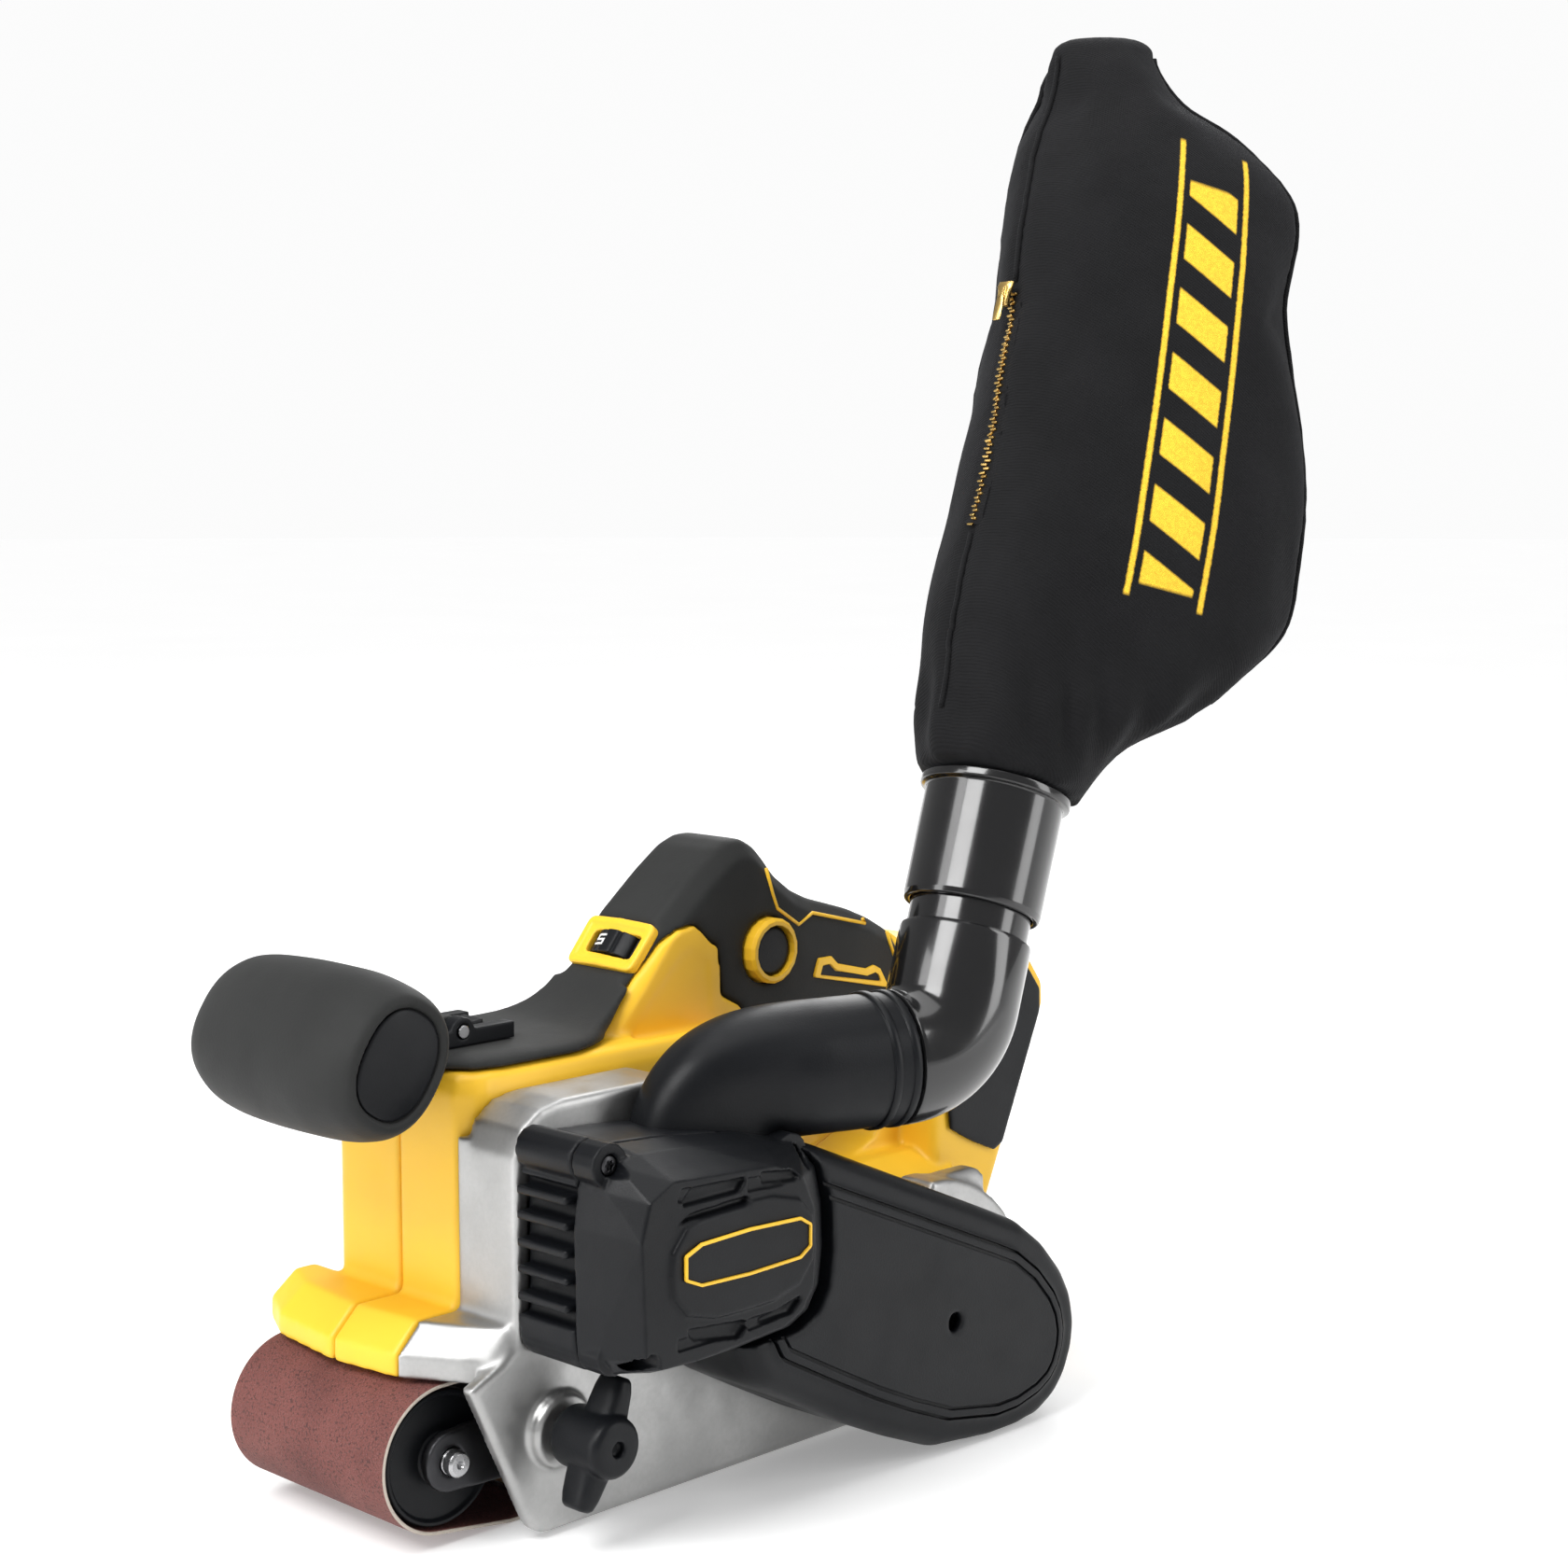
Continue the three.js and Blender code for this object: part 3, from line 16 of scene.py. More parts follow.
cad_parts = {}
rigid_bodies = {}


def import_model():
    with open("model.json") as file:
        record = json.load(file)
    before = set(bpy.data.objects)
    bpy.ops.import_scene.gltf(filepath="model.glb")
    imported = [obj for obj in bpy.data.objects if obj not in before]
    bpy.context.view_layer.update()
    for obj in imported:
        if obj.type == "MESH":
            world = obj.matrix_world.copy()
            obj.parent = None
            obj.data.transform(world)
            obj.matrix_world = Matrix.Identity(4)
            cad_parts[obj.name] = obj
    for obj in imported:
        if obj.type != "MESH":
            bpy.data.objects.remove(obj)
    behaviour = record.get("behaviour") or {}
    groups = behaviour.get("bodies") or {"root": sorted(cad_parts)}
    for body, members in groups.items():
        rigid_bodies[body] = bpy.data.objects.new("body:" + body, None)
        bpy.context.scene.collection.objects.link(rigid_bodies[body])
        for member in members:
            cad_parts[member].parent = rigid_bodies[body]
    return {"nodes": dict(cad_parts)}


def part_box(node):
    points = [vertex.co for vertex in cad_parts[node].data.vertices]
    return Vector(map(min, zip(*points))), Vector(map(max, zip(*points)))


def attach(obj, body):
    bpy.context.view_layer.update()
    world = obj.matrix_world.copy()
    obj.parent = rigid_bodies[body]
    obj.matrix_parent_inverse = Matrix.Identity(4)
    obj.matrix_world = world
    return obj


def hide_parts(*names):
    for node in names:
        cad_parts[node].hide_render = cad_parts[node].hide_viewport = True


for old_object in list(bpy.data.objects):
    bpy.data.objects.remove(old_object)
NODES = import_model()["nodes"]
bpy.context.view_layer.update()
scene = bpy.context.scene
MM = 0.001

# ---------------------------------------------------------------- material builder

MATS = {}


class Mat:
    """A principled material being built; done() files it in MATS."""

    def __init__(self, name):
        self.name = name
        self.material = bpy.data.materials.new(name)
        self.material.use_nodes = True
        self.tree = self.material.node_tree
        self.tree.nodes.clear()
        output = self.add("OutputMaterial")
        self.surface = self.add("BsdfPrincipled")
        self.feed(output.inputs[0], self.surface.outputs[0])
        self.coords = self.add("TexCoord").outputs["Object"]
        self.normal = None

    def feed(self, socket, value):
        """Links value when it is another node's socket, else sets it."""
        if isinstance(value, bpy.types.NodeSocket):
            self.tree.links.new(value, socket)
        else:
            socket.default_value = (*value, 1) if socket.type == "RGBA" else value

    def add(self, kind, inputs={}, **settings):
        node = self.tree.nodes.new("ShaderNode" + kind)
        for key, value in settings.items():
            setattr(node, key, value)
        for key, value in inputs.items():
            self.feed(node.inputs[key], value)
        return node

    def mapped(self, scale=(1, 1, 1), rotation=(0, 0, 0)):
        return self.add("Mapping", {0: self.coords, "Scale": scale, "Rotation": rotation}).outputs[0]

    def noise(self, scale, detail=2.0, roughness=0.5, coords=None):
        return self.add("TexNoise", {"Scale": scale, "Detail": detail, "Roughness": roughness,
                                     "Vector": coords or self.coords}).outputs[0]

    def voronoi(self, scale):
        return self.add("TexVoronoi", {"Scale": scale, "Vector": self.coords}).outputs

    def math(self, operation, a, b=0.0, clamp=False):
        return self.add("Math", {0: a, 1: b}, operation=operation, use_clamp=clamp).outputs[0]

    def plus(self, a, b, clamp=False):
        return self.math("ADD", a, b, clamp)

    def times(self, a, b, clamp=False):
        return self.math("MULTIPLY", a, b, clamp)

    def remap(self, value, over, to=(0, 1)):
        ends = {1: over[0], 2: over[1], 3: to[0], 4: to[1]}
        return self.add("MapRange", {0: value, **ends}).outputs[0]

    def vary(self, scale, detail=2.0, over=(0.3, 0.7), to=(0, 1)):
        """Noise whose middle range is spread between the two values of to."""
        return self.remap(self.noise(scale, detail), over, to)

    def mix(self, share, a, b):
        return self.add("Mix", {0: share, 6: a, 7: b}, data_type="RGBA").outputs[2]

    def bump(self, height, strength, distance):
        node = self.add("Bump", {"Strength": strength, "Distance": distance, "Height": height})
        if self.normal is not None:
            self.feed(node.inputs["Normal"], self.normal)
        self.normal = node.outputs[0]

    def bevel(self, radius):
        self.normal = self.add("Bevel", {"Radius": radius}, samples=4).outputs[0]
        return self.normal

    def edge(self, bevel):
        """1 at sharp edges, 0 on flats."""
        true_normal = self.add("NewGeometry").outputs["Normal"]
        dot = self.add("VectorMath", {0: bevel, 1: true_normal}, operation="DOT_PRODUCT")
        return self.remap(dot.outputs["Value"], over=(1.0, 0.86))

    def done(self, colour, roughness, **inputs):
        inputs.update(Base_Color=colour, Roughness=roughness, Normal=self.normal)
        for key, value in inputs.items():
            self.feed(self.surface.inputs[key.replace("_", " ")], value)
        MATS[self.name] = self.material
        return self.material


def tint(colour, gain, lift=0.0):
    return tuple(min(1, c * gain + lift) for c in colour)


# ---------------------------------------------------------------- materials


def plastic(name, base, roughness, grain=1800.0, depth=0.00004, strength=0.25, tone_spread=0.05,
            rough_spread=0.07, wear=0.25, wear_gain=1.35, **inputs):
    """Grained plastic with a patchy tone and paler, smoother edges."""
    mat = Mat(name)
    bevel = mat.bevel(radius=0.0005)
    pits = mat.voronoi(grain * 0.9)["Distance"]
    mat.bump(mat.plus(mat.noise(grain, detail=2, roughness=0.6), pits), strength, depth)
    dark = tint(base, 1 - tone_spread * 1.6)
    light = tint(base, 1 + tone_spread)
    colour = mat.mix(mat.vary(scale=22, detail=3, over=(0.35, 0.65)), dark, light)
    patches = mat.vary(scale=160, detail=3, over=(0.4, 0.65), to=(0.15, 1.0))
    edge = mat.times(mat.edge(bevel), patches, clamp=True)
    colour = mat.mix(mat.times(edge, wear), colour, tint(base, wear_gain, lift=0.01))
    uneven = mat.vary(scale=60, detail=4, to=(roughness - rough_spread, roughness + rough_spread))
    return mat.done(colour, mat.plus(uneven, mat.times(edge, -0.1), clamp=True), **inputs)


def metal(name, base, roughness, stretch=(1, 1, 1), grain=900.0, strength=0.2, depth=0.00003,
          rough_spread=0.1, wear=0.4):
    """Bare metal; stretch draws the grain out into brushing."""
    mat = Mat(name)
    bevel = mat.bevel(radius=0.0004)
    fine = mat.noise(grain, detail=3, roughness=0.6, coords=mat.mapped(scale=stretch))
    mat.bump(fine, strength, depth)
    patches = mat.vary(scale=30, detail=3, over=(0.35, 0.65))
    colour = mat.mix(patches, tint(base, 0.88), tint(base, 1.07))
    colour = mat.mix(mat.remap(fine, over=(0.35, 0.7), to=(0, 0.25)), colour, tint(base, 0.7))
    edge = mat.edge(bevel)
    colour = mat.mix(mat.times(edge, wear), colour, tint(base, 1.35))
    uneven = mat.vary(scale=90, detail=4, to=(roughness - rough_spread, roughness + rough_spread))
    return mat.done(colour, mat.plus(uneven, mat.times(edge, -0.12), clamp=True), Metallic=1.0)


def abrasive():
    """Red-brown grit with pale specks and dark gaps, on a pale backing."""
    mat = Mat("abrasive")
    cells = mat.voronoi(1500)["Distance"]
    specks = mat.voronoi(2600)["Distance"]
    fine = mat.noise(2600, detail=2, roughness=0.7)
    mat.bump(mat.plus(cells, mat.times(fine, 0.9)), strength=0.9, distance=0.00022)
    mat.bump(mat.noise(700, detail=3), strength=0.5, distance=0.0002)
    patches = mat.vary(scale=40, detail=4)
    colour = mat.mix(patches, (0.115, 0.033, 0.028), (0.19, 0.062, 0.052))
    colour = mat.mix(mat.remap(specks, over=(0.0, 0.26), to=(0.85, 0)), colour, (0.42, 0.27, 0.24))
    colour = mat.mix(mat.remap(cells, over=(0.55, 0.9), to=(0, 0.8)), colour, (0.03, 0.012, 0.012))
    # The side edges of the belt show its pale backing.
    from_middle = mat.math("ABSOLUTE", mat.add("SeparateXYZ", {0: mat.coords}).outputs["Y"])
    colour = mat.mix(mat.remap(from_middle, over=(0.03765, 0.0379)), colour, (0.55, 0.49, 0.42))
    roughness = mat.remap(fine, over=(0.3, 0.7), to=(0.62, 0.92))
    return mat.done(colour, roughness, Specular_IOR_Level=0.45)


def cork():
    mat = Mat("cork")
    cells = mat.voronoi(700)
    mat.bump(cells["Distance"], strength=0.5, distance=0.0002)
    share = mat.remap(cells["Color"], over=(0, 1), to=(0.2, 0.8))
    colour = mat.mix(share, (0.42, 0.28, 0.15), (0.24, 0.14, 0.07))
    return mat.done(colour, mat.vary(scale=300, to=(0.75, 0.95)))


def copper():
    """Copper with fine bands across Y."""
    mat = Mat("copper")
    mat.bevel(radius=0.0003)
    bands = mat.add("TexWave", {"Scale": 420, "Distortion": 0.6, "Vector": mat.coords},
                    bands_direction="Y").outputs["Fac"]
    mat.bump(bands, strength=0.8, distance=0.0003)
    colour = mat.mix(bands, (0.30, 0.11, 0.04), (0.75, 0.34, 0.15))
    return mat.done(colour, mat.vary(scale=200, to=(0.25, 0.45)), Metallic=0.9, Coat_Weight=0.4)


def circuit_board():
    mat = Mat("circuit_board")
    mat.bevel(radius=0.0003)
    cells = mat.voronoi(260)["Distance"]
    mat.bump(cells, strength=0.3, distance=0.0003)
    share = mat.remap(cells, over=(0.1, 0.2), to=(1, 0))
    colour = mat.mix(share, (0.012, 0.12, 0.05), (0.3, 0.26, 0.12))
    return mat.done(colour, mat.vary(scale=150, to=(0.25, 0.5)), Coat_Weight=0.6)


def print_mask(mat):
    """1 on the print: two lines with slanted bars between, from the bag's print attributes."""

    def attribute(key):
        return mat.add("Attribute", attribute_name=key).outputs["Fac"]

    def band(value, centre, half, soft):
        distance = mat.math("ABSOLUTE", mat.math("SUBTRACT", value, centre))
        return mat.remap(distance, over=(half - soft, half + soft), to=(1, 0))

    along = attribute("print_along")
    ragged = mat.times(mat.math("SUBTRACT", mat.noise(900, detail=2), 0.5), 0.02)
    across = mat.plus(attribute("print_across"), ragged)
    ends = band(along, centre=0.5, half=0.5, soft=0.004)
    lines = mat.math("MAXIMUM", band(across, centre=0.035, half=0.035, soft=0.012),
                     band(across, centre=0.965, half=0.035, soft=0.012))
    # Seven bars along the print, each slanted by 0.55 of a pitch.
    saw = mat.math("FRACT", mat.plus(mat.times(along, 7.0), mat.times(across, 0.55)))
    bars = mat.times(band(saw, centre=0.5, half=0.27, soft=0.02),
                     band(across, centre=0.5, half=0.34, soft=0.012))
    bars = mat.times(bars, band(along, centre=0.47, half=0.44, soft=0.004))
    facing = mat.times(ends, attribute("print_front"))
    return mat.times(mat.math("MAXIMUM", lines, bars), facing, clamp=True)


def cloth(name, printed=False):
    """Black twill: fine diagonal ribs, crossed by the weft."""
    base = (0.0052, 0.0052, 0.0057)
    mat = Mat(name)
    turned = mat.mapped(rotation=(0, 0, math.radians(35.7)))
    axes = mat.add("SeparateXYZ", {0: turned}).outputs
    level = mat.plus(mat.times(axes["X"], 1.0), mat.times(axes["Y"], 1.0))

    def ridges(value, pitch):
        wave = mat.math("SINE", mat.times(value, 2 * math.pi / pitch))
        return mat.times(mat.plus(wave, 1), 0.5)

    rib = ridges(mat.plus(level, axes["Z"]), pitch=0.00135)
    weft = ridges(mat.math("SUBTRACT", level, axes["Z"]), pitch=0.0007)
    weave = mat.plus(mat.times(rib, 0.7), mat.times(weft, 0.3))
    fold = mat.noise(38, detail=4, roughness=0.55)
    mat.bump(fold, strength=0.35, distance=0.003)
    mat.bump(mat.noise(170, detail=3, roughness=0.6), strength=0.3, distance=0.0008)
    mat.bump(weave, strength=0.7, distance=0.00022)
    # Painted shade: the colour follows the fold bump, lighter on the crests and darker in the
    # hollows.
    colour = mat.mix(mat.remap(fold, over=(0.3, 0.7)), tint(base, 0.7), tint(base, 1.5))
    # Painted highlight: the raised ribs of the weave are coloured lighter.
    colour = mat.mix(mat.times(weave, 0.5), colour, tint(base, 2.4, lift=0.002))
    if printed:
        thin = mat.vary(scale=700, detail=3, over=(0.4, 0.62), to=(0, 0.22))
        yellow = mat.mix(thin, (0.93, 0.58, 0.045), (0.35, 0.2, 0.02))
        colour = mat.mix(mat.times(print_mask(mat), 0.96), colour, yellow)
    return mat.done(colour, mat.remap(weave, over=(0, 1), to=(0.72, 0.9)), Sheen_Weight=0.07,
                    Sheen_Roughness=0.45, Sheen_Tint=(0.55, 0.56, 0.6), Specular_IOR_Level=0.12)


plastic("yellow_housing", base=(0.90, 0.525, 0.028), roughness=0.42, grain=1500, depth=0.00003,
        strength=0.22, tone_spread=0.03, rough_spread=0.05, wear=0.3, wear_gain=1.15,
        Specular_IOR_Level=0.4)
plastic("soft_grip", base=(0.022, 0.0226, 0.0222), roughness=0.64, grain=1300, depth=0.00006,
        strength=0.4, tone_spread=0.08, rough_spread=0.06, wear=0.35, wear_gain=1.8,
        Specular_IOR_Level=0.16, Sheen_Weight=0.04)
plastic("black_plastic", base=(0.0046, 0.0052, 0.0066), roughness=0.42, grain=1700,
        depth=0.00005, strength=0.35, tone_spread=0.1, wear=0.5, wear_gain=2.4,
        Specular_IOR_Level=0.2)
plastic("gloss_black_plastic", base=(0.0055, 0.0055, 0.006), roughness=0.17, grain=240,
        depth=0.00008, strength=0.06, tone_spread=0.08, rough_spread=0.04, wear=0.3,
        wear_gain=1.8, Coat_Weight=0.5, Coat_Roughness=0.08)
metal("cast_aluminium", base=(0.47, 0.47, 0.465), roughness=0.46, grain=700, strength=0.25,
      depth=0.00005, rough_spread=0.08)
metal("steel", base=(0.5, 0.5, 0.51), roughness=0.28, stretch=(1, 0.05, 1), grain=1500)
metal("dark_steel", base=(0.06, 0.06, 0.064), roughness=0.4, wear=0.5)
copper()
metal("brass", base=(0.74, 0.50, 0.17), roughness=0.3)
abrasive()
cork()
cloth("bag_cloth", printed=True)
cloth("plain_cloth")
circuit_board()
plastic("belt_rubber", base=(0.028, 0.027, 0.026), roughness=0.72, grain=900, depth=0.0001,
        strength=0.4)
plastic("white_mark", base=(0.75, 0.75, 0.74), roughness=0.5)

# ---------------------------------------------------------------- mesh helpers


def link(obj):
    scene.collection.objects.link(obj)
    return obj


@contextmanager
def editing(mesh):
    bm = bmesh.new()
    bm.from_mesh(mesh)
    yield bm
    bm.to_mesh(mesh)
    bm.free()


def evaluated(obj):
    """A new mesh of obj with its modifiers applied."""
    depsgraph = bpy.context.evaluated_depsgraph_get()
    depsgraph.update()
    return bpy.data.meshes.new_from_object(obj.evaluated_get(depsgraph), depsgraph=depsgraph)


def settle(obj):
    """Applies obj's modifiers to its mesh."""
    mesh = evaluated(obj)
    obj.modifiers.clear()
    old = obj.data
    obj.data = mesh
    bpy.data.meshes.remove(old)


def smooth_shade(obj, angle=None):
    """Smooth faces, with creases at edges of angle degrees or more."""
    for face in obj.data.polygons:
        face.use_smooth = True
    if angle is not None:
        with editing(obj.data) as bm:
            for edge in bm.edges:
                if len(edge.link_faces) == 2:
                    edge.smooth = edge.calc_face_angle(0) < math.radians(angle)
    return obj


def join(objs, name):
    """One object holding all the meshes; the inputs are removed."""
    mesh = bpy.data.meshes.new(name)
    with editing(mesh) as bm:
        for obj in objs:
            bm.from_mesh(obj.data)
    for obj in objs:
        bpy.data.objects.remove(obj)
    return link(bpy.data.objects.new(name, mesh))


def copy_node(node, name):
    """A copy of a frame node's mesh, with doubled vertices merged."""
    obj = bpy.data.objects.new(name, NODES[node].data.copy())
    obj.data.materials.clear()
    with editing(obj.data) as bm:
        bmesh.ops.remove_doubles(bm, verts=bm.verts, dist=2e-6)
    return link(obj)


def voxel(obj, size, steps, keep=None):
    """Remeshes at size mm, softens by smoothing steps and keeps a share of the faces."""
    remesh = obj.modifiers.new("remesh", "REMESH")
    remesh.mode = "VOXEL"
    remesh.voxel_size = size * MM
    remesh.use_smooth_shade = True
    smooth = obj.modifiers.new("smooth", "SMOOTH")
    smooth.factor = 0.5
    smooth.iterations = steps
    settle(obj)
    if keep:
        obj.modifiers.new("decimate", "DECIMATE").ratio = keep
        settle(obj)
    return smooth_shade(obj)


def tidy(obj):
    with editing(obj.data) as bm:
        bmesh.ops.remove_doubles(bm, verts=bm.verts, dist=1e-6)
        bmesh.ops.triangulate(bm, faces=[f for f in bm.faces if len(f.verts) > 4])
        bmesh.ops.recalc_face_normals(bm, faces=bm.faces)


def volume(mesh):
    bm = bmesh.new()
    bm.from_mesh(mesh)
    total = abs(bm.calc_volume())
    bm.free()
    return total


def subtract(obj, cutters):
    """Cuts each cutter out of obj. A solver whose result loses most of obj is passed over."""
    tidy(obj)
    for cutter in cutters:
        tidy(cutter)
        least = volume(obj.data) * 0.05
        for solver in ("MANIFOLD", "EXACT", "FAST"):
            cut = obj.modifiers.new("cut", "BOOLEAN")
            cut.operation = "DIFFERENCE"
            cut.solver = solver
            cut.object = cutter
            mesh = evaluated(obj)
            obj.modifiers.clear()
            if len(mesh.vertices) > 8 and volume(mesh) > least:
                obj.data = mesh
                break
            bpy.data.meshes.remove(mesh)
        bpy.data.objects.remove(cutter)
    return obj


def place(obj, body, slot, *nodes, mat=None):
    """Gives obj its material, its moving body and the nodes it stands in for."""
    obj.data.materials.clear()
    obj.data.materials.append(MATS[mat or slot])
    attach(obj, body)
    if nodes:
        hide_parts(*nodes)


# ---------------------------------------------------------------- shape helpers, in mm


def vec(*parts):
    return np.array(parts, float)


def norm(vector):
    vector = np.array(vector, float)
    return vector / np.linalg.norm(vector)


YA, Z = vec(0, 1, 0), vec(0, 0, 1)


def oval_factor(cosine, sine, power):
    return (abs(cosine) ** power + abs(sine) ** power) ** (-1 / power)


def oval(centre, u_axis, v_axis, u_half, v_half, count=64, power=2.0):
    """A ring in the plane of two axes; a power above 2 makes it squarer."""
    ring = []
    for i in range(count):
        turn = 2 * math.pi * i / count
        cosine, sine = math.cos(turn), math.sin(turn)
        k = oval_factor(cosine, sine, power)
        ring.append(np.array(centre) + u_axis * (u_half * cosine * k)
                    + v_axis * (v_half * sine * k))
    return ring


def cubic(rows, i, t):
    """The smooth curve through rows, at share t between rows i and i + 1."""
    p0, p1, p2, p3 = [np.array(rows[min(max(j, 0), len(rows) - 1)], float)
                      for j in range(i - 1, i + 3)]
    return 0.5 * ((2 * p1) + (p2 - p0) * t + (2 * p0 - 5 * p1 + 4 * p2 - p3) * t * t
                  + (3 * p1 - p0 - 3 * p2 + p3) * t ** 3)


def catmull(rows, per):
    """Smooth rows of numbers through the given ones, per steps each."""
    steps = [cubic(rows, i, k / per) for i in range(len(rows) - 1) for k in range(per)]
    return steps + [np.array(rows[-1], float)]


def smooth_rows(rows, count):
    """Rows (position, values...) joined by monotone curves, closer together at both ends."""
    x = np.array([r[0] for r in rows], float)
    ys = np.array([r[1:] for r in rows], float)
    span = np.diff(x)[:, None]
    slope = np.diff(ys, axis=0) / span
    tangent = np.zeros_like(ys)
    for k in range(1, len(x) - 1):
        same = slope[k - 1] * slope[k] > 0
        before = (2 * span[k] + span[k - 1]) / np.where(same, slope[k - 1], 1)
        after = (span[k] + 2 * span[k - 1]) / np.where(same, slope[k], 1)
        tangent[k] = np.where(same, 3 * (span[k - 1] + span[k]) / (before + after), 0)
    tangent[0], tangent[-1] = slope[0], slope[-1]
    out = []
    eased = 0.5 - 0.5 * np.cos(np.pi * np.linspace(0, 1, count))
    for position in x[0] + (x[-1] - x[0]) * eased:
        k = min(int(np.searchsorted(x, position, "right")) - 1, len(x) - 2)
        t = (position - x[k]) / span[k, 0]
        values = ((1 + 2 * t) * (1 - t) ** 2 * ys[k] + t * (1 - t) ** 2 * span[k] * tangent[k]
                  + t * t * (3 - 2 * t) * ys[k + 1] + t * t * (t - 1) * span[k] * tangent[k + 1])
        out.append((float(position), *[float(c) for c in values]))
    return out


def loft(name, rings, closed=False):
    """Skin over rings of equal count; closed joins the last to the first instead of capping."""
    n, m = len(rings[0]), len(rings)
    faces = []
    for i in range(m if closed else m - 1):
        j = (i + 1) % m
        for k in range(n):
            following = (k + 1) % n
            faces.append((i * n + k, i * n + following, j * n + following, j * n + k))
    if not closed:
        faces += [tuple(range(n)), tuple(range((m - 1) * n, m * n))]
    mesh = bpy.data.meshes.new(name)
    mesh.from_pydata([tuple(float(c) * MM for c in p) for ring in rings for p in ring], [], faces)
    with editing(mesh) as bm:
        bmesh.ops.recalc_face_normals(bm, faces=bm.faces)
    return link(bpy.data.objects.new(name, mesh))


def lathe(name, origin, axis, profile, count=96, closed=False):
    """Profile rows are (radius, distance along axis)."""
    axis = norm(axis)
    u_axis = norm(np.cross(axis, vec(0, 0, 1) if abs(axis[2]) < 0.8 else vec(1, 0, 0)))
    v_axis = np.cross(axis, u_axis)
    turns = [2 * math.pi * i / count for i in range(count)]
    return loft(name, [[np.array(origin) + axis * along
                        + (u_axis * math.cos(t) + v_axis * math.sin(t)) * max(radius, 1e-4)
                        for t in turns] for radius, along in profile], closed)


def tube(name, points, radius, count=8):
    points = [np.array(p, float) for p in points]
    rings = []
    up = None
    for i, point in enumerate(points):
        along = norm(points[min(i + 1, len(points) - 1)] - points[max(i - 1, 0)])
        if up is None:
            up = norm(np.cross(along, vec(0.3, 0.9, 0.2)))
        up = norm(up - along * np.dot(up, along))
        side = np.cross(along, up)
        turns = [2 * math.pi * k / count for k in range(count)]
        rings.append([point + (up * math.cos(t) + side * math.sin(t)) * radius for t in turns])
    return smooth_shade(loft(name, rings))


def round_poly(points, radius, segments=5):
    """Corners of a closed outline turned into curves of radius up to the given one."""
    out = []
    for i in range(len(points)):
        corner = np.array(points[i], float)
        back = np.array(points[i - 1], float) - corner
        ahead = np.array(points[(i + 1) % len(points)], float) - corner
        back_length, ahead_length = np.linalg.norm(back), np.linalg.norm(ahead)
        back, ahead = back / back_length, ahead / ahead_length
        angle = math.acos(float(np.clip(np.dot(back, ahead), -1, 1)))
        if angle > math.radians(176):
            out.append(corner)
            continue
        cut = min(radius / math.tan(angle / 2), 0.48 * back_length, 0.48 * ahead_length)
        start, end = corner + back * cut, corner + ahead * cut
        for k in range(segments + 1):
            w = k / segments
            out.append((1 - w) ** 2 * start + 2 * w * (1 - w) * corner + w ** 2 * end)
    return out


def offset_poly(points, distance):
    """Outline moved along its normals; positive goes outwards."""
    points = [np.array(p, float) for p in points]
    count = len(points)
    area = sum(points[i - 1][0] * points[i][1] - points[i][0] * points[i - 1][1]
               for i in range(count))
    sign = 1 if area > 0 else -1
    out = []
    for i in range(count):
        sides = (points[i] - points[i - 1], points[(i + 1) % count] - points[i])
        ways = [norm(side) for side in sides if np.linalg.norm(side) > 1e-6]
        normals = [vec(way[1], -way[0]) for way in (ways[0], ways[-1])]
        mitre = norm(normals[0] + normals[1])
        stretch = 1 / max(0.5, float(np.dot(mitre, normals[0])))
        out.append(points[i] + mitre * distance * stretch * sign)
    return out


def slab(name, outline, levels):
    """Outline in (x, z), lofted through (y, offset) levels."""
    return loft(name, [[vec(p[0], y, p[1]) for p in offset_poly(outline, offset)]
                       for y, offset in levels])


def node_span(node):
    """A node's x and z centre, its radius across x, and its y ends."""
    low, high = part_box(node)
    return ((low.x + high.x) / 2 / MM, (low.z + high.z) / 2 / MM, (high.x - low.x) / 2 / MM,
            low.y / MM, high.y / MM)


# ---------------------------------------------------------------- moulded and cast pieces

# node: (body, slot, voxel mm, smoothing steps, share of faces kept)
MOULDED = {
    "main_frame": ("frame", "cast_aluminium", 0.95, 7, 0.35),
    "housing_left": ("frame", "yellow_housing", 0.95, 9, 0.35),
    "housing_right": ("frame", "yellow_housing", 0.95, 9, 0.35),
    "handle_overmould": ("frame", "soft_grip", 0.9, 30, 0.4),
    "motor_housing": ("frame", "black_plastic", 0.75, 6, 0.4),
    "knob_bracket": ("frame", "black_plastic", 0.5, 5, 0.5),
    "foot_panel_left": ("frame", "black_plastic", 0.7, 8, 0.5),
    "foot_panel_right": ("frame", "black_plastic", 0.7, 8, 0.5),
    "battery_rail": ("frame", "black_plastic", 0.6, 4, 0.5),
    "trigger": ("trigger", "black_plastic", 0.45, 8, 0.5),
    "lock_button": ("lock_button", "black_plastic", 0.4, 6, 0.5),
    "tension_lever": ("tension_lever", "yellow_housing", 0.5, 6, 0.5),
    "knob_latch": ("knob_latch", "black_plastic", 0.4, 5, 0.5),
    "tracking_fork": ("tracking_fork", "dark_steel", 0.7, 4, 0.5),
    "tension_slider": ("tension_slider", "dark_steel", 0.6, 4, 0.5),
    "motor_fan": ("motor", "black_plastic", 0.6, 3, 0.6),
}
# Recess in the left housing: (x, z).
ARM_PANEL = [(1, 146), (15.5, 160.5), (21, 161.5), (28.8, 156.5), (29.5, 141), (34, 134), (-10, 134)]
# Overmould corner cut away on both sides: (x, distance from the middle plane).
CORNER_PLAN = [(-38, 30), (-30, 28), (-23, 24.2), (-17, 20), (-14, 18.8), (-14, 36), (-38, 36)]
